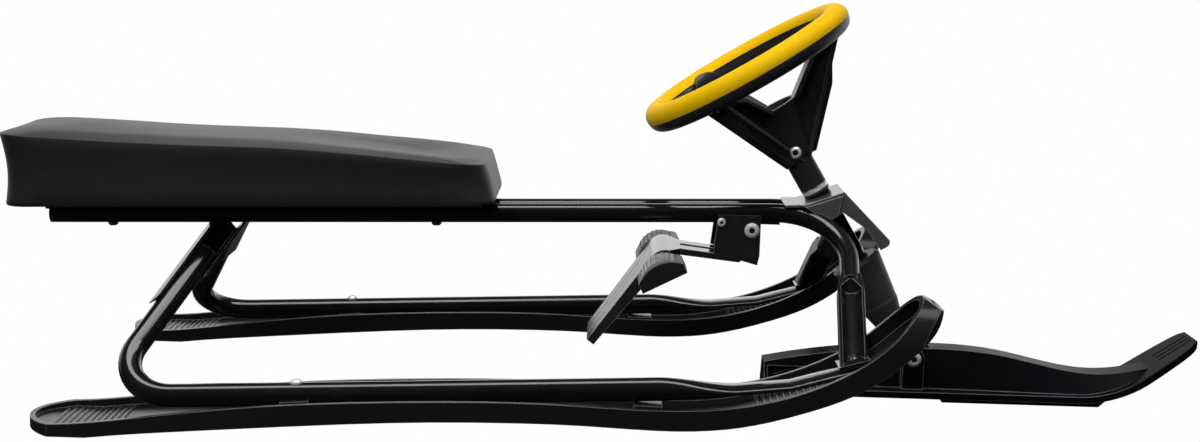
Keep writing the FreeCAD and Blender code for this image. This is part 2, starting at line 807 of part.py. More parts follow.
def cushion_ring(inset, rear_lift, front_lift, rear_in, front_in):
    """One level of the cushion: a rounded rectangle on a sloping plane, drawn in by an inset."""
    rear = dim.cushion_rear_x - dim.rail_rear_x + inset + rear_in
    front = dim.cushion_front_x - dim.rail_rear_x - inset - front_in
    half = dim.cushion_width / 2 - inset
    corner = dim.cushion_corner
    soft = corner * (1 - math.sqrt(0.5))
    base = dim.rail_dia / 2 + dim.board_thick

    def at(x, y):
        share = (x - rear) / (front - rear)
        return Vector(x, y, base + rear_lift + share * (front_lift - rear_lift))

    edges = []
    for x, y, sx, sy in ((front, -half, -1, 1), (front, half, -1, -1), (rear, half, 1, -1),
                         (rear, -half, 1, 1)):
        first, last = at(x, y + sy * corner), at(x + sx * corner, y)
        middle = at(x + sx * soft, y + sy * soft)
        if (sx < 0) == (sy > 0):
            first, last = last, first
        edges.append(Part.Arc(first, middle, last).toShape())
    joined = []
    for step, edge in enumerate(edges):
        joined.append(edge)
        start = edge.Vertexes[-1].Point
        end = edges[(step + 1) % len(edges)].Vertexes[0].Point
        joined.append(Part.makeLine(start, end))
    return Part.Wire(joined)


def make_cushion():
    """Long bench cushion: tucked under, drawn in at the waist, bevelled along the top seam and crowned."""
    rear, front = dim.cushion_rear_rise, dim.cushion_front_rise
    bulge, bevel, crown = dim.cushion_bulge, dim.cushion_bevel, dim.cushion_bevel + dim.cushion_crown
    waist, nose = dim.cushion_waist, dim.cushion_nose
    seam = cushion_ring(0, rear, front, 0, nose)
    lower = Part.makeLoft([cushion_ring(dim.cushion_tuck, dim.fit_gap, dim.fit_gap, 0, 0),
                           cushion_ring(0, bulge, bulge, waist, waist / 2),
                           cushion_ring(waist / 2, rear / 2, front / 2, waist, -waist / 2), seam], True,
                          False)
    upper = Part.makeLoft([seam, cushion_ring(bevel, rear + bevel, front + bevel, 0, nose),
                           cushion_ring(dim.cushion_crown_inset, rear + crown, front + crown, 0, nose)],
                          True, True)
    shape = lower.fuse(upper).removeSplitter()
    shape.Placement = rail_frame
    return shape


def make_seat():
    board = body_at("seat_board", rail_frame)
    outline = [("board_rear_x - rail_rear_x", "rail_dia / 2"),
               ("board_front_x - rail_rear_x", "rail_dia / 2"),
               ("board_front_x - rail_rear_x", "rail_dia / 2 + board_thick"),
               ("board_rear_x - rail_rear_x", "rail_dia / 2 + board_thick")]
    pad(board, polygon(sketch_on(board, "XZ_Plane", "seat_board_outline"), outline), "board_width")
    for name, place in (("rear", "seat_bolt_rear_x"), ("front", "seat_bolt_front_x")):
        holes = sketch_on(board, "XY_Plane", f"seat_board_{name}_holes", "rail_dia / 2 + board_thick / 2")
        for side in ("-rail_spread / 2", "rail_spread / 2"):
            circle(holes, f"{place} - rail_rear_x", side, loose("bolt_shank"))
        pocket(board, holes, "board_thick", False)
    add("seat_board", board)
    feature("seat_cushion", make_cushion())
    master = bolt_body("seat_bolt", "bolt_shank", "rail_dia + board_thick / 2", "seat_bolt_head",
                       "seat_bolt_head_height")
    group("seat_bolts", master, seat_bolt_frames())


def make_frame():
    rail = feature("right_rail", make_rail())
    mirrored("left_rail", rail)
    tube = feature("right_runner_tube", make_runner_tube())
    mirrored("left_runner_tube", tube)
    bracket = feature("right_leg_bracket", make_leg_bracket())
    mirrored("left_leg_bracket", bracket)
    runner = feature("right_runner", make_runner())
    mirrored("left_runner", runner)

    tie = body_at("rear_cross_plate", rail_frame)
    middle = "tube_top_x - rail_rear_x"
    outline = [(f"{middle} - cross_length / 2", "-cross_thick / 2"),
               (f"{middle} + cross_length / 2", "-cross_thick / 2"),
               (f"{middle} + cross_length / 2", "cross_thick / 2"),
               (f"{middle} - cross_length / 2", "cross_thick / 2")]
    pad(tie, polygon(sketch_on(tie, "XZ_Plane", "cross_plate_outline"), outline),
        "rail_spread - rail_dia - 2 * fit_gap")
    add("rear_cross_plate", tie)

    bore = "rail_dia / 2 - rail_wall - fit_gap"
    plug = turned_body("rail_plug", [("0", "-plug_flange"), ("rail_dia / 2", "-plug_flange"),
                                     ("rail_dia / 2", "0"), (bore, "0"), (bore, "plug_depth"),
                                     ("0", "plug_depth")])
    inward = Rotation(Vector(0, 1, 0), 90)
    group("rail_end_plugs", plug, [rail_frame * Placement(Vector(0, side, 0), inward)
                                   for side in (-rail_side, rail_side)])

    tube_screw = bolt_body("tube_screw", "screw_shank", "tube_dia - screw_sink + runner_floor / 2",
                           "screw_head", "screw_head_height")
    foot_screw = bolt_body("foot_screw", "screw_shank",
                           "2 * strap_thick / 2 + fit_gap + foot_thick + runner_floor / 2", "screw_head",
                           "screw_head_height")
    across = Placement(Vector(0, dim.track, 0), Rotation())
    seat = Placement(Vector(0, 0, screw_seat), Rotation())
    group("runner_screws", tube_screw, [screw_frame * seat, across * screw_frame * seat])
    seat = Placement(Vector(0, 0, foot_top), Rotation())
    group("foot_screws", foot_screw, [foot_frame * seat, across * foot_frame * seat])


def make_head():
    """Folded bracket on the rails, with the tube that the steering shaft turns in."""
    body = body_at("head_bracket_raw", steering)
    corner = [(f"head_nose - 2 * head_sheet * (1 - cos({30 * step} deg))",
               f"-head_drop + 2 * head_sheet * (1 - sin({30 * step} deg))") for step in range(4)]
    side = [("-head_back", "0"), ("head_front", "-head_fall")] + corner + [
        ("head_nose - 5 * head_sheet", "-head_drop"), ("head_throat", "-2 * head_drop / 3"),
        ("head_throat / 2", "-head_drop / 3"), ("-head_back / 5", "-head_drop / 3")]
    pad(body, polygon(sketch_on(body, "XZ_Plane", "head_side"), side), "head_width")
    inner = [("-2 * head_back", "-head_sheet"), ("-head_back", "-head_sheet"),
             ("head_front - head_sheet", "-head_fall - head_sheet"),
             ("head_nose - head_sheet - head_sheet / 4", "-head_drop + 3 * head_sheet"),
             ("head_nose - 2 * head_sheet", "-head_drop - overrun"),
             ("-2 * head_back", "-head_drop - overrun")]
    pocket(body, polygon(sketch_on(body, "XZ_Plane", "head_inside"), inner), "head_width - 2 * head_sheet")
    floor = [("-head_tube_dia / 2 - 2 * head_sheet", "-head_drop"),
             ("head_nose - 2 * head_sheet", "-head_drop"),
             ("head_nose - 2 * head_sheet", "-head_drop + head_sheet"),
             ("-head_tube_dia / 2 - 2 * head_sheet", "-head_drop + head_sheet")]
    pad(body, polygon(sketch_on(body, "XZ_Plane", "head_floor"), floor), "head_floor_width")
    tongue = [("-head_back - tongue_reach", "tongue_lift - head_sheet / 2"),
              ("-head_back", "-head_sheet / 2"), ("-head_back + tongue_reach",
                                                  "-head_fall / 2 - head_sheet / 2"),
              ("-head_back + tongue_reach", "head_sheet / 2 - head_fall / 2"),
              ("-head_back", "head_sheet / 2"), ("-head_back - tongue_reach",
                                                 "tongue_lift + head_sheet / 2")]
    pad(body, polygon(sketch_on(body, "XZ_Plane", "head_tongue"), tongue), "head_width - 2 * head_sheet")
    bore = circle(sketch_on(body, "XY_Plane", "head_bore", "overrun"), "0", "0", loose("head_tube_dia"))
    pocket(body, bore, "head_drop + 2 * overrun", False)
    doc.recompute()
    bracket = body.Shape.cut(rail_core(dim.fit_gap))
    feature("head_bracket", max(bracket.Solids, key=lambda solid: solid.Volume))

    lens = body_at("right_gusset_raw", steering)
    outline = [("-head_back + head_sheet", "-head_sheet"),
               ("head_front - head_sheet", "-head_fall - head_sheet"),
               ("head_front - 2 * head_sheet", "-head_drop / 6"), ("head_front / 4", "-head_drop / 3"),
               ("-head_back / 4", "-head_drop / 3"), ("-head_back / 2", "-head_drop / 4")]
    sketch = sketch_on(lens, "XZ_Plane", "gusset_outline", "head_width / 2")
    pad(lens, polygon(sketch, outline), "gusset_thick", False)
    doc.recompute()
    gusset = lens.Shape.cut(rail_core(dim.fit_gap))
    right = feature("right_head_gusset", max(gusset.Solids, key=lambda solid: solid.Volume))
    mirrored("left_head_gusset", right)

    tube_ring = [("head_tube_bore / 2", "-head_drop"), ("head_tube_dia / 2", "-head_drop"),
                 ("head_tube_dia / 2", "head_tube_rise"), ("head_tube_bore / 2", "head_tube_rise")]
    turned("head_tube", tube_ring, steering)
    inner_r, outer_r = "shaft_dia / 2 + fit_gap", "head_tube_bore / 2 - fit_gap"
    top, low = "head_tube_rise", "-head_drop"
    turned("upper_head_bush", [(inner_r, f"{top} - bush_length"), (outer_r, f"{top} - bush_length"),
                               (outer_r, top), ("bush_flange_dia / 2", top),
                               ("bush_flange_dia / 2", f"{top} + bush_flange"),
                               (inner_r, f"{top} + bush_flange")], steering)
    turned("lower_head_bush", [(inner_r, f"{low} - bush_flange"),
                               ("bush_flange_dia / 2", f"{low} - bush_flange"),
                               ("bush_flange_dia / 2", low), (outer_r, low),
                               (outer_r, f"{low} + bush_length"), (inner_r, f"{low} + bush_length")],
           steering)


def make_column():
    """Shaft, washer and nut above the head, cover and collar below it, and the yoke that holds the ski."""
    foot = steering.inverse().multVec(Vector(dim.ski_pivot_x, 0, dim.ski_pivot_z))
    low_end = "-head_drop - bush_flange - clear_gap - cover_length - collar_length"
    shaft = body_at("steering_shaft", steering)
    rod_profile = [("0", low_end), ("shaft_dia / 2", low_end), ("shaft_dia / 2", "shaft_top"),
                   ("0", "shaft_top")]
    revolve(shaft, polygon(sketch_on(shaft, "XZ_Plane", "shaft_profile"), rod_profile))
    pocket(shaft, circle(sketch_on(shaft, "XZ_Plane", "shaft_hole"), "0", "hub_bolt_rise",
                         loose("bolt_shank")), "2 * shaft_dia")
    add("steering_shaft", shaft)

    bore = "shaft_dia / 2 + fit_gap"
    low = "head_tube_rise + bush_flange + clear_gap"
    turned("column_washer", [(bore, low), ("washer_dia / 2", low),
                             ("washer_dia / 2", f"{low} + washer_thick"), (bore, f"{low} + washer_thick")],
           steering)
    up = dim.head_tube_rise + dim.bush_flange + dim.clear_gap + dim.washer_thick
    nut_place = steering * Placement(Vector(0, 0, up), Rotation())
    add("column_nut", nut_body("column_nut", "column_nut_across", "column_nut_height", loose("shaft_dia"),
                               nut_place))

    top = "-head_drop - bush_flange - clear_gap"
    wide, narrow, wall = "cover_top_dia / 2", "cover_low_dia / 2", "cover_wall"
    turned("column_cover", [(bore, top), (f"{wide} - {wall}", top), (wide, f"{top} - {wall}"),
                            (narrow, f"{top} - cover_length"), (bore, f"{top} - cover_length"),
                            (bore, f"{top} - cover_length + {wall}"),
                            (f"{narrow} - {wall}", f"{top} - cover_length + {wall}"),
                            (f"{wide} - 2 * {wall}", f"{top} - {wall}"), (bore, f"{top} - {wall}")],
           steering)
    seam = f"{top} - cover_length"
    turned("column_collar", [(bore, seam), (narrow, seam), (narrow, f"{seam} - {wall}"),
                             ("collar_low_dia / 2", f"{seam} - collar_length"),
                             (bore, f"{seam} - collar_length")], steering)

    neck = dim.yoke_neck_dia / 2
    level = -dim.head_drop - dim.bush_flange - dim.clear_gap - dim.cover_length - dim.collar_length
    lean = Vector(foot.x, 0, foot.z - level).normalize()
    side = Vector(lean.z, 0, -lean.x) * (dim.yoke_eye_dia / 2)
    head = [Vector(-neck, 0, level), Vector(neck, 0, level)]
    outline = [head[0], head[1], Vector(foot.x, 0, foot.z) - side, Vector(foot.x, 0, foot.z) + side]
    across = Vector(0, dim.yoke_width / 2, 0)
    eye = cylinder(dim.yoke_eye_dia, foot - across, foot + across)
    hole = cylinder(loose(dim.pivot_shank), foot - across * 2, foot + across * 2)
    shape = slab(outline, dim.yoke_width / 2).fuse(eye).cut(hole).removeSplitter()
    shape.Placement = steering
    feature("ski_yoke", shape)


def make_wheel():
    """Two-part rim on a moulded spider with three arms, bolted through the shaft."""
    centre = "wheel_dia / 2 - rim_dia / 2"
    plane = steering * Placement(Vector(0, 0, dim.wheel_rise), Rotation())

    def ring(name, section, drop):
        torus = doc.addObject("Part::Torus", name)
        torus.setExpression("Radius1", bound(centre))
        torus.setExpression("Radius2", bound(section))
        torus.Placement = plane * Placement(Vector(0, 0, -drop), Rotation())
        return torus

    def below_split(name):
        """All that lies under the seam of grip and core, which climbs towards the inside of the rim."""
        cone = doc.addObject("Part::Cone", name)
        cone.setExpression("Radius1",
                           bound("wheel_dia / 2 + rim_dia * rim_dia / (rim_split + rim_split_inner)"))
        cone.setExpression("Radius2", bound("wheel_dia / 2 - rim_dia"))
        cone.setExpression("Height", bound("rim_dia + rim_split + rim_split_inner"))
        cone.Placement = plane * Placement(Vector(0, 0, -dim.rim_split - dim.rim_dia), Rotation())
        return cone

    grip = doc.addObject("Part::Cut", "rim_grip")
    grip.Base, grip.Tool = ring("grip_ring", "rim_dia / 2", 0), below_split("grip_split")
    add("rim_grip", grip)
    core = doc.addObject("Part::Common", "rim_core_raw")
    core.Base, core.Tool = ring("core_ring", "rim_dia / 2 - core_inset",
                                dim.core_drop), below_split("core_split")

    spider = body_at("spider_raw", steering)
    low = "head_tube_rise + bush_flange + 2 * clear_gap + washer_thick + column_nut_height"
    bore = "shaft_dia / 2 + fit_gap"
    hub = [(bore, low), ("sleeve_dia / 2", low), ("sleeve_dia / 2", "sleeve_top - hub_wall"),
           ("hub_low_dia / 2", "sleeve_top"), ("hub_top_dia / 2", "hub_top"),
           ("hub_top_dia / 2 - hub_wall", "hub_top"), ("hub_low_dia / 2", "hub_top - hub_pit"),
           (bore, "hub_top - hub_pit")]
    revolve(spider, polygon(sketch_on(spider, "XZ_Plane", "hub_profile"), hub))
    root = "sleeve_dia / 2 - arm_flange"
    keel = [(f"{root} + {along} * (arm_end_radius - ({root}))",
             f"arm_low + {along} * (arm_end_low - arm_low) - {deep} * arm_keel")
            for along, deep in arm_keel_shares]
    web = [(root, "arm_low")] + keel + [("arm_end_radius", "arm_end_low"),
                                        ("arm_end_radius", "arm_end_high"),
                                        ("arm_inner_radius", "arm_inner_rise"),
                                        ("hub_top_dia / 2 - arm_flange", "hub_top"),
                                        ("hub_low_dia / 2", "hub_top - hub_pit"),
                                        ("sleeve_dia / 2 - arm_flange", "hub_top - hub_pit")]
    flange = [("hub_top_dia / 2 - arm_flange", "hub_top"), ("arm_inner_radius", "arm_inner_rise"),
              ("arm_end_radius", "arm_end_high"), ("arm_end_radius", "arm_end_high - arm_flange"),
              ("arm_inner_radius + arm_flange / 2", "arm_inner_rise - arm_flange"),
              ("hub_top_dia / 2 - arm_flange / 2", "hub_top - arm_flange")]
    rib = [("sleeve_dia / 2 - arm_flange / 2", "arm_low"), ("arm_end_radius", "arm_end_low"),
           ("arm_end_radius - arm_flange", "arm_end_low + arm_flange / 2"),
           (root, "arm_low + arm_flange / 2")]
    pads = [pad(spider, polygon(sketch_on(spider, "XZ_Plane", "arm_" + name), corners), width)
            for name, corners, width in (("web", web, "arm_web"), ("flange", flange, "arm_flange_width"),
                                         ("rib", rib, "arm_rib_width"))]
    doc.recompute()
    pattern = spider.newObject("PartDesign::PolarPattern", "three_arms")
    pattern.Originals = pads
    pattern.Axis = (next(part for part in spider.Origin.OriginFeatures if part.Role == "Z_Axis"), [""])
    pattern.Angle = 360
    pattern.Occurrences = 3
    spider.Tip = pattern
    pocket(spider, circle(sketch_on(spider, "XZ_Plane", "hub_bolt_hole"), "0", "hub_bolt_rise",
                          loose("bolt_shank")), "2 * hub_top_dia")
    doc.recompute()
    room = Part.makeTorus(value(centre), dim.rim_dia / 2 + dim.fit_gap)
    room.Placement = plane
    core_room = Part.makeTorus(value(centre), dim.rim_dia / 2 - dim.core_inset + dim.fit_gap)
    core_room.Placement = plane * Placement(Vector(0, 0, -dim.core_drop), Rotation())
    room = room.fuse(core_room)
    seats = [steering * Placement(Vector(0, 0, 0), Rotation(Vector(0, 0, 1), 120 * step))
             for step in range(3)]
    shell = Part.makeTorus(value(centre) - dim.boss_shift, dim.rim_dia / 2 + dim.boss_shell)
    shell.translate(Vector(0, 0, dim.wheel_rise))
    boss = dim.boss_width / 2
    bow = dim.wheel_rise + dim.boss_top - boss
    tab = block(Placement(), (0, value(centre)), (-boss, boss), (min(dim.arm_end_low, bow - boss), bow))
    clasp = shell.common(tab.fuse(cylinder(dim.boss_width, Vector(0, 0, bow),
                                           Vector(value(centre), 0, bow))))
    clasps = []
    for turn in seats:
        copy = clasp.copy()
        copy.Placement = turn * copy.Placement
        clasps.append(copy)
    seat = dim.hub_low_dia / 2
    for sign in (-1, 1):
        flat = cylinder(dim.bolt_head + 2 * dim.clear_gap, Vector(0, sign * seat, dim.hub_bolt_rise),
                        Vector(0, sign * dim.wheel_dia, dim.hub_bolt_rise))
        flat.Placement = steering
        room = room.fuse(flat)
    screw_low = dim.arm_end_low
    screw_top = dim.wheel_rise - dim.rim_split
    screw_frames = [turn * Placement(Vector(dim.rim_screw_radius, 0, 0), Rotation()) for turn in seats]
    drill = cylinder(loose(dim.screw_shank), Vector(0, 0, screw_low),
                     Vector(0, 0, screw_top - dim.clear_gap))
    counter = cylinder(loose(dim.screw_head), Vector(0, 0, 0), Vector(0, 0, screw_low + dim.arm_flange))
    drills = []
    for frame in screw_frames:
        for tool in (drill, counter):
            copy = tool.copy()
            copy.Placement = frame
            drills.append(copy)
    shape = spider.Shape.fuse(clasps).cut([room] + drills)
    feature("wheel_spider", max(shape.Solids, key=lambda solid: solid.Volume))
    feature("rim_core", core.Shape.cut(drills))
    screw = bolt_body("rim_screw", "screw_shank",
                      "wheel_rise - rim_split - clear_gap - fit_gap - arm_end_low - arm_flange",
                      "screw_head", "screw_head_height")
    over = Placement(Vector(0, 0, dim.arm_end_low + dim.arm_flange), Rotation(Vector(1, 0, 0), 180))
    group("rim_screws", screw, [frame * over for frame in screw_frames])

    bolt = bolt_body("hub_bolt_raw", "bolt_shank", "hub_low_dia + nut_height", "bolt_head",
                     "bolt_head_height")
    cross = steering * Placement(Vector(0, -seat, dim.hub_bolt_rise), facing_right)
    group("hub_bolt", bolt, [cross])
    nut_place = steering * Placement(Vector(0, seat, dim.hub_bolt_rise), facing_left)
    add("hub_nut", nut_body("hub_nut", "nut_across", "nut_height", loose("bolt_shank"), nut_place))


def make_ski():
    """Front ski: base with a turned-up nose, hollow-sided spine, keel and saddle for the yoke."""
    bend, turn = dim.ski_nose_bend, math.radians(dim.ski_nose_angle)
    low = dim.ski_keel_depth
    rear, nose = dim.ski_rear_x, dim.ski_nose_x

    def nose_wire(depth, floor):
        """The base's side outline: flat, turned up on an arc, then straight to the tip."""
        def arc_point(angle, radius):
            return Vector(nose + radius * math.sin(angle), 0, floor + bend - radius * math.cos(angle))

        run = Vector(math.cos(turn), 0, math.sin(turn)) * dim.ski_tip_run
        inner = bend - depth
        under = [arc_point(0, bend), arc_point(turn / 2, bend), arc_point(turn, bend)]
        over = [arc_point(turn, inner), arc_point(turn / 2, inner), arc_point(0, inner)]
        tip_low, tip_high = under[2] + run, over[0] + run
        back_low, back_high = Vector(rear, 0, floor), Vector(rear, 0, floor + depth)
        return Part.Wire([Part.makeLine(back_low, under[0]), Part.Arc(*under).toShape(),
                          Part.makeLine(under[2], tip_low), Part.makeLine(tip_low, tip_high),
                          Part.makeLine(tip_high, over[0]), Part.Arc(*over).toShape(),
                          Part.makeLine(over[2], back_high), Part.makeLine(back_high, back_low)])

    def base_top(x):
        """Height of the base's upper face: flat, then the nose's arc, then straight."""
        inner, past = bend - dim.ski_base, max(x - nose, 0)
        arc = min(past, inner * math.sin(turn))
        rise = inner - math.sqrt(inner ** 2 - arc ** 2)
        return low + dim.ski_base + rise + (past - arc) * math.tan(turn)

    def plan(half):
        """The ski from above: square at the back, drawn in along the nose to a rounded tip."""
        tip = nose + bend * math.sin(turn) + dim.ski_tip_run * math.cos(turn)
        back = rear + dim.ski_rear_round
        right = [Vector(tip - (1 - along) * dim.ski_taper, -across * half, 0)
                 for along, across in taper_shares]
        left = [Vector(point.x, -point.y, 0) for point in reversed(right[:-1])]
        edge = Part.BSplineCurve()
        edge.interpolate(right + left)
        heel = [left[-1], Vector(back, half, 0), Vector(rear, half - dim.ski_rear_round, 0),
                Vector(rear, dim.ski_rear_round - half, 0), Vector(back, -half, 0), right[0]]
        straight = [Part.makeLine(start, end) for start, end in zip(heel, heel[1:])]
        prism = Part.Face(Part.Wire([edge.toShape()] + straight)).extrude(Vector(0, 0, dim.track))
        return prism

    half = dim.ski_width / 2
    grooves = []
    slant = Placement(Vector(nose + bend * math.sin(turn), 0,
                             low + bend * (1 - math.cos(turn)) + dim.ski_base),
                      Rotation(Vector(0, 1, 0), -dim.ski_nose_angle))
    for step in (-1, 0, 1):
        side = step * dim.groove_pitch
        grooves.append(block(slant, [share * dim.ski_tip_run for share in groove_shares],
                             (side - dim.groove_width / 2, side + dim.groove_width / 2),
                             (-dim.ski_base + dim.groove_floor, dim.track)))
    base = Part.Face(nose_wire(dim.ski_base, low)).extrude(Vector(0, dim.ski_width, 0))
    base.translate(Vector(0, -half, 0))
    base = base.common(plan(half)).cut(grooves)
    keel = slab([Vector(dim.ski_keel_x, 0, 0), Vector(nose + dim.ski_keel_run, 0, 0),
                 Vector(nose + dim.ski_keel_lead, 0, base_top(nose + dim.ski_keel_lead) - dim.ski_base / 2),
                 Vector(dim.ski_keel_x - low, 0, low + dim.ski_base / 2)], dim.ski_keel_width / 2)

    rows = [(rear, dim.spine_rear_z), (dim.spine_peak_x, dim.spine_peak_z),
            (dim.spine_mid_x, dim.spine_mid_z), (dim.spine_low_x, dim.spine_low_z)]
    height = dim.spine_low_z - base_top(dim.spine_low_x)
    for along, up in spine_nose_shares:
        x = dim.spine_low_x + along * (dim.spine_end_x - dim.spine_low_x)
        rows.append((x, base_top(x) + up * height))
    tops, foot_z = dim.spine_top_width / 2, low + dim.ski_base / 2
    ridge = Part.BSplineCurve()
    ridge.interpolate([Vector(x, share * dim.spine_base_width / 2, z)
                       for (x, z), share in zip(rows, spine_foot_shares)])
    sections = []
    for point in ridge.discretize(Number=spine_stations):
        x, feet, z = point
        sunk = base_top(x) - dim.ski_base / 2
        sections.append(Part.makePolygon([Vector(x, -feet, sunk), Vector(x, feet, sunk), Vector(x, tops, z),
                                          Vector(x, -tops, z), Vector(x, -feet, sunk)]))
    spine = Part.makeLoft(sections, True, False)

    pivot = Vector(dim.ski_pivot_x, 0, dim.ski_pivot_z)
    across = Vector(0, dim.pivot_boss_width / 2, 0)
    boss = cylinder(dim.pivot_boss_dia, pivot - across, pivot + across)
    stand = slab([Vector(pivot.x - dim.pivot_boss_dia / 2, 0, foot_z),
                  Vector(pivot.x + dim.pivot_boss_dia / 2, 0, foot_z),
                  Vector(pivot.x + dim.pivot_boss_dia / 2, 0, pivot.z),
                  Vector(pivot.x - dim.pivot_boss_dia / 2, 0, pivot.z)], dim.pivot_boss_width / 2)
    shape = base.fuse([spine, boss, stand, keel])

    slot = slab([Vector(dim.saddle_slot_rear_x, 0, dim.saddle_floor_z),
                 Vector(dim.spine_peak_x, 0, dim.saddle_floor_z),
                 Vector(dim.spine_peak_x, 0, dim.runner_rise),
                 Vector(dim.saddle_slot_rear_x, 0, dim.runner_rise)], dim.yoke_width / 2 + dim.clear_gap)
    hole = cylinder(loose(dim.pivot_shank), pivot - across * 2, pivot + across * 2)
    pockets = []
    floor = low + dim.ski_base
    reach = dim.saddle_slot_rear_x - rear
    rib = dim.spine_rib
    for first, last in ((rib, reach / 2), (reach / 2 + rib, reach)):
        for corner in (0, 1):
            left, right = rear + first, rear + last
            lid = dim.spine_rear_z - rib
            if corner == 0:
                corners = [Vector(left, 0, floor + rib), Vector(right - 2 * rib, 0, lid),
                           Vector(left, 0, lid)]
            else:
                corners = [Vector(left + 2 * rib, 0, floor), Vector(right, 0, floor),
                           Vector(right, 0, lid - rib)]
            cut = slab(corners, dim.spine_base_width)
            core = slab(corners, dim.spine_top_width / 2 - dim.spine_pocket)
            pockets.append(cut.cut(core))
    shape = shape.cut([slot, hole] + pockets).removeSplitter()
    feature("front_ski", shape)

    bolt = bolt_body("ski_pivot_raw", "pivot_shank", "pivot_boss_width + pivot_nut_height", "pivot_head",
                     "pivot_head_height")
    group("ski_pivot_bolt", bolt, [Placement(pivot - across, facing_right)])
    add("ski_pivot_nut", nut_body("ski_pivot_nut", "pivot_nut_across", "pivot_nut_height",
                                  loose("pivot_shank"), Placement(pivot + across, facing_left)))


def make_brake_box():
    """Folded box on the outside of the rails, with the pivot screw through it."""
    inner = "rail_spread + rail_dia + 2 * fit_gap"
    box = body_at("brake_box_raw")
    top = "rail_rear_z + (box_rear_x - rail_rear_x) * tan(rail_rise * 1 deg)"
    side = [("box_rear_x - box_sheet", "box_rear_low_z"), ("box_front_x - box_sheet", "box_front_low_z"),
            ("box_front_x", "box_front_low_z + box_lap"), ("box_front_x", top),
            ("box_rear_x + box_sheet", top)]
    pad(box, polygon(sketch_on(box, "XZ_Plane", "box_side"), side), f"{inner} + 2 * box_sheet")
    hollow = [("box_rear_x - box_lap", "box_front_low_z - overrun"),
              ("box_front_x - 2 * box_sheet", "box_front_low_z - overrun"),
              ("box_front_x - box_sheet", "box_front_low_z + box_lap"),
              ("box_front_x - box_sheet", f"{top} + overrun"), ("box_rear_x - box_lap", f"{top} + overrun")]
    pocket(box, polygon(sketch_on(box, "XZ_Plane", "box_inside"), hollow), inner)
    under = "rail_rear_z + (box_front_x - rail_rear_x) * tan(rail_rise * 1 deg) - rail_dia / 2 - fit_gap"
    tab = [("box_front_x - box_sheet / 2", f"{under} - box_sheet"),
           ("box_front_x + box_tab", f"{under} - box_sheet"), ("box_front_x + box_tab", under),
           ("box_front_x - box_sheet / 2", under)]
    pad(box, polygon(sketch_on(box, "XZ_Plane", "box_tab_outline"), tab), "rail_spread")
    pocket(box, circle(sketch_on(box, "XZ_Plane", "box_pivot_hole"), "brake_pivot_x", "brake_pivot_z",
                       loose("brake_pivot_shank")), "track")
    pocket(box, circle(sketch_on(box, "XZ_Plane", "box_rivet_hole"), "rivet_x", "rivet_z",
                       loose("rivet_shank")), "track")
    doc.recompute()
    shape = box.Shape.cut(rail_core(dim.fit_gap))
    feature("brake_box", max(shape.Solids, key=lambda solid: solid.Volume))

    wall = dim.rail_spread / 2 + dim.rail_dia / 2 + dim.fit_gap
    outside = wall + dim.box_sheet
    pivot = Vector(dim.brake_pivot_x, 0, dim.brake_pivot_z)
    screw = bolt_body("brake_pivot_raw", "brake_pivot_shank",
                      "rail_spread + rail_dia + 2 * fit_gap + 2 * box_sheet + pivot_nut_height",
                      "pivot_head", "pivot_head_height")
    group("brake_pivot_screw", screw, [Placement(pivot - Vector(0, outside, 0), facing_right)])
    add("brake_pivot_nut", nut_body("brake_pivot_nut", "pivot_nut_across", "pivot_nut_height",
                                    loose("brake_pivot_shank"), Placement(pivot + Vector(0, outside, 0),
                                                                          facing_left)))
    bore, tail, stem, cap = "rivet_bore / 2", "rivet_head / 3", "rivet_shank / 2", "rivet_head / 2"
    back = "-box_sheet - rivet_back"
    rivet = turned_body("box_rivet", [(bore, back), (tail, back), (tail, "-box_sheet"),
                                      (stem, "-box_sheet"), (stem, "0"), (cap, "0"), (tail, "rivet_dome"),
                                      (bore, "rivet_dome")])
    where = Vector(dim.rivet_x, 0, dim.rivet_z)
    group("box_rivets", rivet, [Placement(where - Vector(0, outside, 0), facing_right),
                                Placement(where + Vector(0, outside, 0), facing_left)])


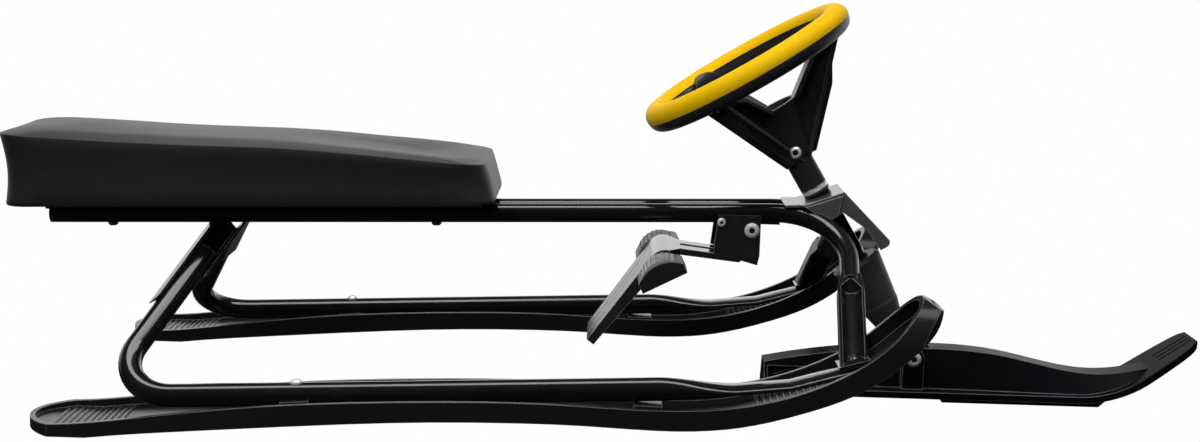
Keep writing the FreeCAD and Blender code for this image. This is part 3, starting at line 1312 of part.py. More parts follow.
def make_brake_lever():
    """Forked lever with an elbow and a grooved claw, a pedal and tread each side, and the return spring."""
    pivot = Vector(dim.brake_pivot_x, 0, dim.brake_pivot_z)
    knee = Vector(dim.lever_knee_x, 0, dim.lever_knee_z)
    elbow = Vector(dim.elbow_x, 0, dim.elbow_z)
    tip = Vector(dim.claw_tip_x, 0, dim.claw_tip_z)
    eye, plate = dim.lever_arm / 2, dim.lever_plate / 2
    half = dim.rail_spread / 2 + dim.rail_dia / 2 - dim.clear_gap
    wide = dim.lever_width / 2

    core = elbow - Vector(0, 0, plate)
    along = (knee - core).normalize()
    over = Vector(-along.z, 0, along.x) * plate
    run = (tip - elbow).normalize()
    inside = Vector(-run.z, 0, run.x)
    lower = [knee + over, knee - over, elbow + inside * dim.claw_depth, tip + inside * dim.claw_tip_depth,
             tip]
    edges = bent_path([tip, core + over, knee + over], dim.lever_round).Edges
    edges += [Part.makeLine(start, end) for start, end in zip(lower, lower[1:])]
    outline = Part.Wire(Part.__sortEdges__(edges))
    shape = Part.Face(outline).extrude(Vector(0, 2 * wide, 0))
    shape.translate(Vector(0, -wide, 0))
    side = [(tip.x - dim.overrun, dim.claw_tip_width / 2), (elbow.x, wide), (dim.lever_shoulder_x, wide),
            (dim.lever_neck_x, half), (knee.x + dim.overrun, half)]
    plan = [Vector(x, y, 0) for x, y in side] + [Vector(x, -y, 0) for x, y in reversed(side)]
    shape = shape.common(Part.Face(Part.makePolygon(plan + plan[:1])).extrude(Vector(0, 0, dim.track)))

    rise = (knee - pivot).normalize()
    flank = Vector(-rise.z, 0, rise.x)
    link = slab([pivot + flank * eye, knee + flank * plate, knee - flank * plate, pivot - flank * eye],
                half)
    across = Vector(0, half, 0)
    ends = [cylinder(dim.lever_arm, pivot - across, pivot + across),
            cylinder(dim.lever_plate, knee - across, knee + across)]
    shape = shape.fuse([link] + ends)
    gap = dim.lever_slot / 2
    bridge_end = dim.bridge_x + dim.bridge_length
    slots = [block(Placement(), (first, last), (-gap, gap), (0, dim.track))
             for first, last in ((dim.lever_neck_x, dim.bridge_x), (bridge_end, pivot.x + dim.track))]
    deep = inside * dim.claw_groove_depth
    start = elbow + run * (dim.lever_round + dim.claw_depth)
    grooves = []
    for place in (-dim.claw_groove_pitch / 2, dim.claw_groove_pitch / 2):
        groove = slab([start - deep, tip + run * dim.claw_depth - deep, tip + run * dim.claw_depth + deep,
                       start + deep], dim.claw_groove / 2)
        grooves.append(groove.translated(Vector(0, place, 0)))
    bore = cylinder(loose(dim.brake_pivot_shank), pivot - Vector(0, dim.track, 0),
                    pivot + Vector(0, dim.track, 0))
    lever = feature("brake_lever", shape.cut(slots + grooves + [bore]).removeSplitter())

    frame = Placement(Vector(dim.pedal_x, 0, dim.pedal_z), Rotation(Vector(0, 1, 0), -dim.pedal_tilt))
    back, high = -dim.pedal_length, dim.pedal_height
    deck = high - dim.tread_thick
    inner_y = dim.lever_width / 2 + dim.fit_gap

    def dome(level, y0, y1, inset):
        """Half-moon in the side view, cut off at a level, as a prism from one y to another."""
        corners = [Vector(back + inset, y0, 0), Vector(-inset, y0, 0), Vector(-inset, y0, level / 2),
                   Vector(back / 2, y0, level), Vector(back + inset, y0, level / 2)]
        edges = [Part.makeLine(corners[0], corners[1]), Part.makeLine(corners[1], corners[2]),
                 Part.Arc(corners[2], corners[3], corners[4]).toShape(),
                 Part.makeLine(corners[4], corners[0])]
        return Part.Face(Part.Wire(edges)).extrude(Vector(0, y1 - y0, 0))

    outer_y = inner_y + dim.pedal_width
    core = dome(deck, -outer_y, -inner_y, 0)
    cap = dome(high, -outer_y + dim.tread_edge, -inner_y - dim.tread_edge, dim.tread_edge)
    cap = cap.cut(dome(deck + dim.fit_gap, -outer_y, -inner_y, 0))
    cap = max(cap.Solids, key=lambda solid: solid.Volume)
    core.Placement = frame
    cap.Placement = frame
    rest_of_lever = lever.Shape
    pedal = feature("right_pedal", core.cut(rest_of_lever))
    mirrored("left_pedal", pedal)
    tread = feature("right_pedal_tread", cap)
    mirrored("left_pedal_tread", tread)

    feature("brake_spring", make_spring(pivot, knee, along))


def make_spring(pivot, knee, along):
    """Torsion spring round the pivot: half-turn arcs, a leg on the lever's bridge and a tail on the box."""
    radius = dim.brake_pivot_shank / 2 + dim.spring_wire / 2 + dim.clear_gap
    turns = max(2, int((dim.lever_slot - 2 * dim.spring_wire) / dim.spring_gap) - 1)
    start_y = -turns * dim.spring_gap / 2
    rest = knee + along * ((dim.bridge_x + dim.bridge_length / 2 - knee.x) / along.x)
    toe = rest + Vector(0, 0, (dim.lever_plate / 2 + dim.spring_wire / 2 + dim.clear_gap) / along.x)
    reach = pivot - toe
    leg = math.sqrt(reach.Length ** 2 - radius ** 2)
    tilt = math.atan2(reach.z, reach.x) + math.atan2(radius, leg)
    run = Vector(math.cos(tilt), 0, math.sin(tilt))

    def coil(angle):
        y = start_y + dim.spring_gap * angle / (2 * math.pi)
        return pivot + Vector(radius * math.sin(angle - tilt), y, radius * math.cos(angle - tilt))

    arcs = [[coil(math.pi * (step + part)) for part in (0, 0.5, 1)] for step in range(2 * turns)]
    first, last = arcs[0][0], arcs[-1][2]
    wall = dim.box_front_x - dim.box_sheet - dim.clear_gap - dim.spring_wire / 2
    tail = last + run * ((wall - last.x) / run.x)
    path = Part.Wire([Part.makeLine(first - run * leg, first)] + [Part.Arc(*ends).toShape()
                                                                  for ends in arcs] + [Part.makeLine(last,
                                                                                                     tail)])
    samples = [coil(2 * math.pi * turns * step / dim.track) for step in range(int(dim.track))]
    near = min((one - other).Length for step, one in enumerate(samples)
               for other in samples[step + int(dim.track / turns / 2):])
    print("spring turns", turns, "least gap", round(near - dim.spring_wire, 2))
    return rod(path, dim.spring_wire)


make_frame()
make_seat()
make_head()
make_column()
make_wheel()
make_ski()
make_brake_box()
make_brake_lever()
doc.recompute()

broken = [thing.Name for thing in doc.Objects if "Invalid" in thing.State or "Error" in thing.State]
broken += [label for label, thing in nodes.items() if thing.Shape.isNull() or not thing.Shape.isValid()]
if broken:
    raise RuntimeError(f"failed: {broken}")
os.makedirs("parts", exist_ok=True)
for label, thing in nodes.items():
    thing.Shape.exportStep(f"parts/{label}.step")
print(len(nodes), "nodes")
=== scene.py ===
import bpy
import math
from mathutils import Matrix, Vector, noise


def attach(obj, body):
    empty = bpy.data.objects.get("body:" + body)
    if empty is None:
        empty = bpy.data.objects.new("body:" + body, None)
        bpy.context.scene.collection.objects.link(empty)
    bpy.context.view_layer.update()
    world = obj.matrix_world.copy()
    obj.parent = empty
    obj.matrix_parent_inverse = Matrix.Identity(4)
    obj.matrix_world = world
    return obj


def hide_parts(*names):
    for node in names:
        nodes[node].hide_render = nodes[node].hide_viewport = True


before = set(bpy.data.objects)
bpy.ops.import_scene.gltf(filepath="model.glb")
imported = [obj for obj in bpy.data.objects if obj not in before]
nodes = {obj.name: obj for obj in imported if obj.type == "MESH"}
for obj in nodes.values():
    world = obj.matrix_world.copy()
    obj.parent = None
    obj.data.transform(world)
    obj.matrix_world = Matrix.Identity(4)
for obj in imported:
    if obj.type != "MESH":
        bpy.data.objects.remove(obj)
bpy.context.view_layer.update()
scene = bpy.context.scene
scene.view_settings.view_transform = "Standard"
print("frame loaded,", len(nodes), "solids")


class Tap:  # a socket that takes part in sums
    def __init__(self, bench, socket):
        self.bench = bench
        self.socket = socket

    def sum(self, kind, first, second):
        return self.bench.node("ShaderNodeMath", {"operation": kind}, {0: first, 1: second})

    def __add__(self, other):
        return self.sum("ADD", self, other)

    def __radd__(self, other):
        return self.sum("ADD", other, self)

    def __sub__(self, other):
        return self.sum("SUBTRACT", self, other)

    def __rsub__(self, other):
        return self.sum("SUBTRACT", other, self)

    def __mul__(self, other):
        return self.sum("MULTIPLY", self, other)

    def __rmul__(self, other):
        return self.sum("MULTIPLY", other, self)

    def __truediv__(self, other):
        return self.sum("DIVIDE", self, other)

    def __pow__(self, other):
        return self.sum("POWER", self, other)

    def clip(self, low, high):
        return self.bench.node("ShaderNodeMapRange", {"clamp": True},
                               {0: self, 1: low, 2: high, 3: 0.0, 4: 1.0})


# painted highlights on the edges: pale lines where the rounded normal leaves the face's own, as 1 less
# their dot product
edgeLook = {"samples": 6, "begins": 0.012, "full": 0.08}


class Bench:  # one node tree and the single way nodes are put in it
    def __init__(self, tree):
        self.tree = tree
        tree.nodes.clear()

    def node(self, kind, settings, inputs, out=0):
        made = self.tree.nodes.new(kind)
        for name, value in settings.items():
            setattr(made, name, value)
        for name, value in inputs.items():
            if isinstance(value, Tap):
                self.tree.links.new(value.socket, made.inputs[name])
            else:
                made.inputs[name].default_value = value
        return Tap(self, made.outputs[out]) if len(made.outputs) else None

    def place(self, stretch=(1, 1, 1)):
        spot = self.node("ShaderNodeTexCoord", {}, {}, "Object")
        return self.node("ShaderNodeMapping", {}, {"Vector": spot, "Scale": stretch})

    def speckle(self, scale, detail=2.0, stretch=(1, 1, 1), rough=0.5):
        where = self.place(stretch)
        return self.node("ShaderNodeTexNoise", {},
                         {"Vector": where, "Scale": scale, "Detail": detail, "Roughness": rough})

    def grain(self, scale):
        return self.node("ShaderNodeTexVoronoi", {"feature": "DISTANCE_TO_EDGE"},
                         {"Vector": self.place(), "Scale": scale})

    def blend(self, share, first, second):
        return self.node("ShaderNodeMix", {"data_type": "RGBA"}, {0: share, 6: first, 7: second}, 2)

    def softEdge(self, radius):
        return self.node("ShaderNodeBevel", {"samples": edgeLook["samples"]}, {"Radius": radius})

    def paintedEdgeHighlight(self, radius):
        # a painted highlight mask, near 1 along edges, where the colour is turned pale
        face = self.node("ShaderNodeNewGeometry", {}, {}, "Normal")
        turned = self.node("ShaderNodeVectorMath", {"operation": "DOT_PRODUCT"},
                           {0: self.softEdge(radius), 1: face}, "Value")
        return (1 - turned).clip(edgeLook["begins"], edgeLook["full"])

    def bump(self, height, strength, depth, under=None):
        inputs = {"Height": height, "Strength": strength, "Distance": depth}
        if under:
            inputs["Normal"] = under
        return self.node("ShaderNodeBump", {}, inputs)


def tone(rgb):
    return (rgb[0], rgb[1], rgb[2], 1.0)


def newFinish(name):
    made = bpy.data.materials.new(name)
    made.use_nodes = True
    return made, Bench(made.node_tree)


def closeFinish(bench, sockets):
    skin = bench.node("ShaderNodeBsdfPrincipled", {}, sockets)
    bench.node("ShaderNodeOutputMaterial", {}, {"Surface": skin})


# gloss enamel on tube and sheet: faint orange peel, a little dust, soft rubs, and pale painted highlight
# lines along the edges
enamel = {
    "tube": {"paint": (0.0058, 0.0058, 0.0064), "dust": (0.015, 0.015, 0.016), "rim": (0.20, 0.20, 0.21),
             "rough": 0.13, "peel": 620.0, "depth": 0.00005, "dustScale": 38.0, "edge": 0.0010},
    # the sheet's paint is a lighter grey than the tube's, painted in for the light the head plates catch
    "sheet": {"paint": (0.0850, 0.0850, 0.0880), "dust": (0.120, 0.120, 0.123), "rim": (0.60, 0.60, 0.61),
              "rough": 0.26, "peel": 900.0, "depth": 0.00006, "dustScale": 60.0, "edge": 0.0011},
    "box": {"paint": (0.0150, 0.0150, 0.0152), "dust": (0.028, 0.028, 0.028), "rim": (0.12, 0.12, 0.12),
            "rough": 0.34, "peel": 900.0, "depth": 0.00006, "dustScale": 60.0, "edge": 0.0007},
}
enamelWear = {"dusty": (0.55, 0.85), "dustShare": 0.6, "dustRough": 0.07, "rubScale": 160.0,
              "rubRun": (0.15, 1, 1), "rubbed": (0.5, 0.9), "rubRough": 0.04, "peelStrength": 0.35,
              "coat": 0.3, "coatRough": 0.06}


def enamelFinish(kind):
    look, wear = enamel[kind], enamelWear
    made, bench = newFinish(kind + "Enamel")
    dust = bench.speckle(look["dustScale"], 5.0).clip(*wear["dusty"])
    rub = bench.speckle(wear["rubScale"], 3.0, wear["rubRun"]).clip(*wear["rubbed"])
    peel = bench.speckle(look["peel"], 1.0)
    paint = bench.blend(dust * wear["dustShare"], tone(look["paint"]), tone(look["dust"]))
    closeFinish(bench, {
        # the edges are blended to a pale tone, a painted highlight
        "Base Color": bench.blend(bench.paintedEdgeHighlight(look["edge"]), paint, tone(look["rim"])),
        "Roughness": look["rough"] + dust * wear["dustRough"] + rub * wear["rubRough"],
        "IOR": 1.5,
        "Coat Weight": wear["coat"], "Coat Roughness": wear["coatRough"],
        "Normal": bench.bump(peel, wear["peelStrength"], look["depth"], bench.softEdge(look["edge"]))})
    return made


# moulded black plastic: fine spark texture, flow marks and scuffs, and pale painted highlight lines along
# the edges
moulded = {
    "satin": {"base": (0.0210, 0.0210, 0.0245), "scuff": (0.038, 0.038, 0.042), "rim": (0.11, 0.11, 0.12),
              "rough": 0.34, "shine": 0.45, "spark": 1500.0, "depth": 0.00008, "run": (1, 1, 1),
              "edge": 0.0010},
    "sleeve": {"base": (0.0560, 0.0560, 0.0570), "scuff": (0.075, 0.075, 0.076), "rim": (0.16, 0.16, 0.17),
               "rough": 0.42, "shine": 0.40, "spark": 1500.0, "depth": 0.00010, "run": (1, 1, 1),
               "edge": 0.0010},
    "runner": {"base": (0.0110, 0.0110, 0.0120), "scuff": (0.022, 0.022, 0.023), "rim": (0.18, 0.18, 0.19),
               "rough": 0.20, "shine": 0.20, "spark": 900.0, "depth": 0.00005, "run": (0.06, 1, 1),
               "edge": 0.0012},
    "ski": {"base": (0.0062, 0.0059, 0.0078), "scuff": (0.016, 0.015, 0.018), "rim": (0.28, 0.28, 0.30),
            "rough": 0.28, "shine": 0.014, "spark": 1300.0, "depth": 0.00006, "run": (0.10, 1, 1),
            "edge": 0.0014, "plainFrom": 0.500, "plainAt": 0.540},
    "lever": {"base": (0.0160, 0.0160, 0.0170), "scuff": (0.040, 0.040, 0.041), "rim": (0.60, 0.60, 0.62),
              "rough": 0.15, "shine": 1.0, "spark": 700.0, "depth": 0.00004, "run": (1, 1, 1),
              "edge": 0.0011},
    "pedal": {"base": (0.0140, 0.0140, 0.0145), "scuff": (0.028, 0.028, 0.029), "rim": (0.16, 0.16, 0.17),
              "rough": 0.40, "shine": 0.45, "spark": 1600.0, "depth": 0.00010, "run": (1, 1, 1),
              "edge": 0.0008},
}
mouldWear = {"flowScale": 24.0, "flowing": (0.42, 0.75), "flowShare": 0.15, "flowRough": 0.06,
             "scuffScale": 210.0, "scuffed": (0.60, 0.80), "scuffShare": 0.45, "scuffRough": 0.10,
             "scuffHeight": 0.4, "sparkRough": 0.03, "sparkStrength": 0.5}


def mouldedFinish(kind):
    look, wear = moulded[kind], mouldWear
    made, bench = newFinish(kind + "Plastic")
    spark = bench.speckle(look["spark"], 2.0)
    flow = bench.speckle(wear["flowScale"], 4.0).clip(*wear["flowing"])
    scuff = bench.speckle(wear["scuffScale"], 6.0, look["run"], 0.65).clip(*wear["scuffed"])
    worn = scuff * wear["scuffShare"] + flow * wear["flowShare"]
    body = bench.blend(worn, tone(look["base"]), tone(look["scuff"]))
    # lines is the mask of the painted edge highlights
    lines = bench.paintedEdgeHighlight(look["edge"])
    if "plainFrom" in look:  # the painted highlight lines fade out along the sled, in metres
        along = bench.node("ShaderNodeSeparateXYZ", {}, {0: bench.place()}, "X")
        lines = lines * (1 - along.clip(look["plainFrom"], look["plainAt"]))
    rough = look["rough"] + flow * wear["flowRough"] + scuff * wear["scuffRough"]
    relief = spark + scuff * wear["scuffHeight"]
    closeFinish(bench, {
        "Base Color": bench.blend(lines, body, tone(look["rim"])),
        "Roughness": rough - spark * wear["sparkRough"],
        "IOR": 1.48, "Specular IOR Level": look["shine"],
        "Normal": bench.bump(relief, wear["sparkStrength"], look["depth"], bench.softEdge(look["edge"]))})
    return made


# yellow grip: close leather-like grain, slightly deeper colour in the cells' edges
grip = {"light": (0.93, 0.56, 0.003), "deep": (0.80, 0.44, 0.002), "rough": 0.50, "cells": 520.0,
        "cellEdge": 0.16, "edgeShare": 0.08, "edgeRough": 0.08, "wearScale": 30.0, "worn": (0.40, 0.80),
        "wearShare": 0.25, "wearRough": 0.10, "fine": 2200.0, "fineHeight": 0.25, "strength": 0.25,
        "depth": 0.00006, "shine": 0.04}


def gripFinish():
    made, bench = newFinish("yellowGrip")
    cells = bench.grain(grip["cells"])
    edges = cells.clip(0.0, grip["cellEdge"])
    wear = bench.speckle(grip["wearScale"], 5.0).clip(*grip["worn"])
    fine = bench.speckle(grip["fine"], 1.0)
    shade = (1 - edges) * grip["edgeShare"] + wear * grip["wearShare"]
    closeFinish(bench, {
        "Base Color": bench.blend(shade, tone(grip["light"]), tone(grip["deep"])),
        "Roughness": grip["rough"] + wear * grip["wearRough"] + (1 - edges) * grip["edgeRough"],
        "IOR": 1.46, "Specular IOR Level": grip["shine"],
        "Normal": bench.bump(edges + fine * grip["fineHeight"], grip["strength"], grip["depth"])})
    return made


# seat vinyl: pebbled hide grain over long soft creases
vinyl = {"base": (0.0150, 0.0150, 0.0160), "high": (0.030, 0.030, 0.031), "rough": 0.40, "pebble": 620.0,
         "pebbleEdge": 0.22, "pebbleShare": 0.35, "pebbleRough": 0.06, "fine": 2600.0, "fineHeight": 0.3,
         "strength": 0.40, "depth": 0.00020, "crease": 14.0, "creaseRun": (0.7, 1, 1), "creaseShare": 0.2,
         "creaseStrength": 0.15, "creaseDepth": 0.0012, "sitScale": 5.0, "sitRough": 0.05, "sheen": 0.08}


def vinylFinish():
    made, bench = newFinish("seatVinyl")
    pebble = bench.grain(vinyl["pebble"]).clip(0.0, vinyl["pebbleEdge"])
    fine = bench.speckle(vinyl["fine"], 2.0)
    crease = bench.speckle(vinyl["crease"], 4.0, vinyl["creaseRun"]).clip(0.35, 0.75)
    sitMark = bench.speckle(vinyl["sitScale"], 2.0).clip(0.40, 0.70)
    grained = bench.bump(pebble + fine * vinyl["fineHeight"], vinyl["strength"], vinyl["depth"])
    raised = pebble * vinyl["pebbleShare"] + crease * vinyl["creaseShare"]
    closeFinish(bench, {
        "Base Color": bench.blend(raised, tone(vinyl["base"]), tone(vinyl["high"])),
        "Roughness": vinyl["rough"] + sitMark * vinyl["sitRough"] + (1 - pebble) * vinyl["pebbleRough"],
        "IOR": 1.5,
        "Sheen Weight": vinyl["sheen"], "Sheen Roughness": 0.4,
        "Normal": bench.bump(crease, vinyl["creaseStrength"], vinyl["creaseDepth"], grained)})
    return made


# zinc-plated steel: turned lines, cloudy plating, a warm tint in patches, and painted shade in the bolt
# heads' sockets; the shaft and yoke are duller
zinc = {"zincSteel": {"bright": (0.92, 0.92, 0.91), "warm": (0.80, 0.77, 0.68), "metal": 0.3},
        "dullSteel": {"bright": (0.10, 0.10, 0.10), "warm": (0.07, 0.07, 0.065), "metal": 0.5},
        "grime": (0.016, 0.016, 0.016), "rough": 0.26, "cloudScale": 120.0, "clouded": (0.35, 0.70),
        "cloudShare": 0.7, "cloudRough": 0.12, "lines": 900.0, "lineRun": (1, 1, 0.08), "lineRough": 0.06,
        "strength": 0.25, "depth": 0.00004, "rimBegins": 0.75,
        "sockets": [(0.1793, 0.2525, 0.0031), (0.3080, 0.0469, 0.0031), (0.1382, 0.1740, 0.0031),
                    (0.1076, 0.1810, 0.0018)]}


def zincFinish(kind):
    look = zinc[kind]
    made, bench = newFinish(kind)
    cloud = bench.speckle(zinc["cloudScale"], 4.0).clip(*zinc["clouded"])
    lines = bench.speckle(zinc["lines"], 2.0, zinc["lineRun"])
    place = bench.place()
    along, up = (bench.node("ShaderNodeSeparateXYZ", {}, {0: place}, axis) for axis in "XZ")
    deep = 0
    for x, z, radius in zinc["sockets"]:  # painted shade in the bolt heads' sockets: dark discs round their axes, seen along the sled's width
        away = ((along - x) ** 2 + (up - z) ** 2) / radius ** 2
        deep = deep + (1 - away.clip(zinc["rimBegins"], 1.0))
    plate = bench.blend(cloud * zinc["cloudShare"], tone(look["bright"]), tone(look["warm"]))
    closeFinish(bench, {
        # the sockets' painted shade darkens the plate
        "Base Color": bench.blend(deep, plate, tone(zinc["grime"])),
        "Metallic": look["metal"],
        "Roughness": zinc["rough"] + cloud * zinc["cloudRough"] + lines * zinc["lineRough"],
        "Normal": bench.bump(lines, zinc["strength"], zinc["depth"])})
    return made


# tread rubber, bushes and the board under the cushion
rubber = {"base": (0.28, 0.28, 0.285), "worn": (0.50, 0.50, 0.51), "rough": 0.45, "wearScale": 90.0,
          "wearShare": 0.5, "wearRough": 0.12, "fine": 1800.0, "depth": 0.0001}
nylon = {"base": (0.030, 0.030, 0.032), "pale": (0.05, 0.05, 0.052), "rough": 0.38, "cloudScale": 60.0,
         "cloudShare": 0.4, "cloudRough": 0.08, "fine": 1400.0, "depth": 0.00006}
ply = {"dark": (0.010, 0.009, 0.008), "grain": (0.026, 0.022, 0.018), "rough": 0.55, "lines": 300.0,
       "lineRun": (0.05, 1, 1), "lineRough": 0.15, "depth": 0.0002}


def rubberFinish():
    made, bench = newFinish("treadRubber")
    worn = bench.speckle(rubber["wearScale"], 5.0).clip(0.40, 0.75)
    fine = bench.speckle(rubber["fine"], 2.0)
    closeFinish(bench, {
        "Base Color": bench.blend(worn * rubber["wearShare"], tone(rubber["base"]), tone(rubber["worn"])),
        "Roughness": rubber["rough"] + worn * rubber["wearRough"],
        "Normal": bench.bump(fine, 0.5, rubber["depth"])})
    return made


def nylonFinish():
    made, bench = newFinish("bushNylon")
    fine = bench.speckle(nylon["fine"], 2.0)
    cloud = bench.speckle(nylon["cloudScale"], 3.0).clip(0.3, 0.8)
    closeFinish(bench, {
        "Base Color": bench.blend(cloud * nylon["cloudShare"], tone(nylon["base"]), tone(nylon["pale"])),
        "Roughness": nylon["rough"] + cloud * nylon["cloudRough"],
        "Normal": bench.bump(fine, 0.4, nylon["depth"])})
    return made


def plyFinish():
    made, bench = newFinish("stainedPly")
    grainLines = bench.speckle(ply["lines"], 6.0, ply["lineRun"], 0.6).clip(0.35, 0.75)
    closeFinish(bench, {
        "Base Color": bench.blend(grainLines, tone(ply["dark"]), tone(ply["grain"])),
        "Roughness": ply["rough"] + grainLines * ply["lineRough"],
        "Normal": bench.bump(grainLines, 0.4, ply["depth"])})
    return made


finishes = {
    "enamel": enamelFinish("tube"), "sheet": enamelFinish("sheet"), "box": enamelFinish("box"),
    "satin": mouldedFinish("satin"), "sleeve": mouldedFinish("sleeve"),
    "runner": mouldedFinish("runner"), "ski": mouldedFinish("ski"), "lever": mouldedFinish("lever"),
    "pedal": mouldedFinish("pedal"), "grip": gripFinish(), "vinyl": vinylFinish(),
    "zinc": zincFinish("zincSteel"), "dull": zincFinish("dullSteel"), "rubber": rubberFinish(),
    "nylon": nylonFinish(), "ply": plyFinish()}
wears = {
    "enamel": ["left_rail", "right_rail", "left_runner_tube", "right_runner_tube", "left_leg_bracket",
               "right_leg_bracket", "rear_cross_plate", "head_tube", "foot_screws",
               "seat_bolts", "brake_spring"],
    "sheet": ["head_bracket", "left_head_gusset", "right_head_gusset"],
    "box": ["brake_box"],
    "runner": ["left_runner", "right_runner"],
    "ski": ["front_ski"],
    "satin": ["wheel_spider", "rim_core", "rail_end_plugs"],
    "sleeve": ["column_cover", "column_collar"],
    "lever": ["brake_lever"],
    "pedal": ["left_pedal", "right_pedal"],
    "rubber": ["left_pedal_tread", "right_pedal_tread"],
    "grip": ["rim_grip"],
    "vinyl": ["seat_cushion"],
    "ply": ["seat_board"],
    "nylon": ["upper_head_bush", "lower_head_bush"],
    "zinc": ["runner_screws", "column_washer", "column_nut", "rim_screws", "hub_bolt", "hub_nut",
             "ski_pivot_bolt", "ski_pivot_nut", "brake_pivot_screw", "brake_pivot_nut", "box_rivets"],
    "dull": ["steering_shaft", "ski_yoke"],
}
for finish, names in wears.items():
    for name in names:
        for slot in nodes[name].material_slots:
            slot.link = "OBJECT"
            slot.material = finishes[finish]
print("finishes set on", sum(len(names) for names in wears.values()), "solids")


def newPiece(name, points, faces, finish, smooth=True):
    mesh = bpy.data.meshes.new(name)
    mesh.from_pydata([tuple(point) for point in points], [], faces)
    mesh.update()
    if smooth:
        mesh.shade_smooth()
    mesh.materials.append(finishes[finish])
    made = bpy.data.objects.new(name, mesh)
    scene.collection.objects.link(made)
    return made


# bench cushion: swelled and crowned top, bevelled seam, waisted sides, rounded underside; in metres, and
# lifts are measured up from the rails, which rise towards the front by so many degrees
cushion = {"rearX": -0.6022, "frontX": -0.1170, "width": 0.1674, "rearRise": 0.0668, "frontRise": 0.040,
           "corner": 0.024, "tuck": 0.004, "waist": 0.004, "nose": 0.009, "bulge": 0.005, "bevel": 0.0010,
           "crown": 0.0030, "crownIn": 0.066, "lift": 0.0042, "liftPower": 6, "hump": 0.0028, "humpAt": 0.6,
           "humpWide": 0.2, "railRear": (-0.564, 0.1681), "rise": 1.78, "base": 0.0145, "around": 168,
           "underIn": (0.070, 0.045, 0.026, 0.014), "sideRows": 11, "bevelRows": 5, "crownRows": 12,
           "capStart": 163, "seamRows": (7, 18), "foldSize": 22.0, "foldDepth": 0.0006, "foldReach": 0.10}


def cushionRing(inset, rearLift, frontLift, rearIn, frontIn):
    c = cushion
    rear, front = c["rearX"] + inset + rearIn, c["frontX"] - inset - frontIn
    half = c["width"] / 2 - inset
    corner = min(c["corner"], half * 0.9)
    run, cross = front - rear - 2 * corner, 2 * half - 2 * corner
    arc = corner * math.pi / 2
    total = 2 * (run + cross) + 4 * arc
    slope = math.tan(math.radians(c["rise"]))
    points = []
    for step in range(c["around"]):
        along = total * step / c["around"]
        legs = ((run, rear + corner, -half, 1, 0), (cross, front, -half + corner, 0, 1),
                (run, front - corner, half, -1, 0), (cross, rear, half - corner, 0, -1))
        centres = ((front - corner, -half + corner, -90), (front - corner, half - corner, 0),
                   (rear + corner, half - corner, 90), (rear + corner, -half + corner, 180))
        for (length, x0, y0, dx, dy), (cx, cy, turn) in zip(legs, centres):
            if along < length:
                x, y = x0 + dx * along, y0 + dy * along
                break
            along -= length
            if along < arc:
                angle = math.radians(turn) + along / corner
                x, y = cx + corner * math.cos(angle), cy + corner * math.sin(angle)
                break
            along -= arc
        share = (x - rear) / (front - rear)
        swell = c["lift"] * (1 - share ** c["liftPower"])
        swell += c["hump"] * math.exp(-((share - c["humpAt"]) / c["humpWide"]) ** 2)
        lift = c["base"] + rearLift + share * (frontLift - rearLift)
        lift += swell * min(1.0, rearLift / c["rearRise"])
        height = c["railRear"][1] + (x - c["railRear"][0]) * slope
        points.append(Vector((x - lift * slope, y, height + lift)))
    return points


def buildCushion():
    c = cushion
    rear, front = c["rearRise"], c["frontRise"]
    levels = [(inset, 0, 0, 0, 0) for inset in (*c["underIn"], c["tuck"])]
    for share in (0.35, 0.7, 1.0):  # rounded underside edge
        angle = share * math.pi / 2
        lift = c["bulge"] * (1 - math.cos(angle))
        levels.append((c["tuck"] * (1 - math.sin(angle)), lift, lift, c["waist"] * share, 0))
    for step in range(1, c["sideRows"] + 1):  # waisted side, fullest at the seam
        share = step / c["sideRows"]
        dip = math.sin(math.pi * share)
        levels.append((c["waist"] * 0.55 * dip * (1 - 0.3 * share),
                       c["bulge"] + share * (rear - c["bulge"]), c["bulge"] + share * (front - c["bulge"]),
                       c["waist"] * (1 - share + 0.35 * dip), c["nose"] * share ** 1.4 - 0.0015 * dip))
    for step in range(1, c["bevelRows"] + 1):  # bevel above the seam
        angle = step / c["bevelRows"] * math.pi / 2
        rise = c["bevel"] * math.sin(angle)
        levels.append((c["bevel"] * (1 - math.cos(angle)), rear + rise, front + rise, 0, c["nose"]))
    for step in range(1, c["crownRows"] + 1):  # crown
        share = step / c["crownRows"]
        inset = c["bevel"] + share * c["crownIn"]
        rise = c["bevel"] + c["crown"] * (1 - (1 - share) ** 4)
        levels.append((inset, rear + rise, front + rise, 0, c["nose"]))
    points, faces, around = [], [], c["around"]
    for level in levels:
        points += cushionRing(*level)
    for row in range(len(levels) - 1):
        for step in range(around):
            after = (step + 1) % around
            low, high = row * around, (row + 1) * around
            faces.append((low + step, low + after, high + after, high + step))
    faces.append(tuple(reversed(range(around))))
    top = (len(levels) - 1) * around
    for step in range(around // 2 - 1):  # the flat middle, in strips from side to side
        near, far = c["capStart"] + step, c["capStart"] - 1 - step
        faces.append(tuple(top + spot % around for spot in (near, near + 1, far - 1, far)))
    made = newPiece("bench_cushion", points, faces, "vinyl")
    pinned = made.vertex_groups.new(name="sewn")
    for row in range(len(levels)):
        weight = 1.0 if row in c["seamRows"] or row <= len(c["underIn"]) else 0.0
        pinned.add(list(range(row * around, (row + 1) * around)), weight, "REPLACE")
    return made


# foam behind the cover: pressed out for so many frames, and no point moves further than the cap, in metres
foam = {"frames": 20, "cap": 0.0016, "cover": {
    "quality": 6, "mass": 0.4, "tension_stiffness": 18, "compression_stiffness": 18, "bending_stiffness": 4,
    "use_pressure": True, "uniform_pressure_force": 4.0, "vertex_group_mass": "sewn"}}


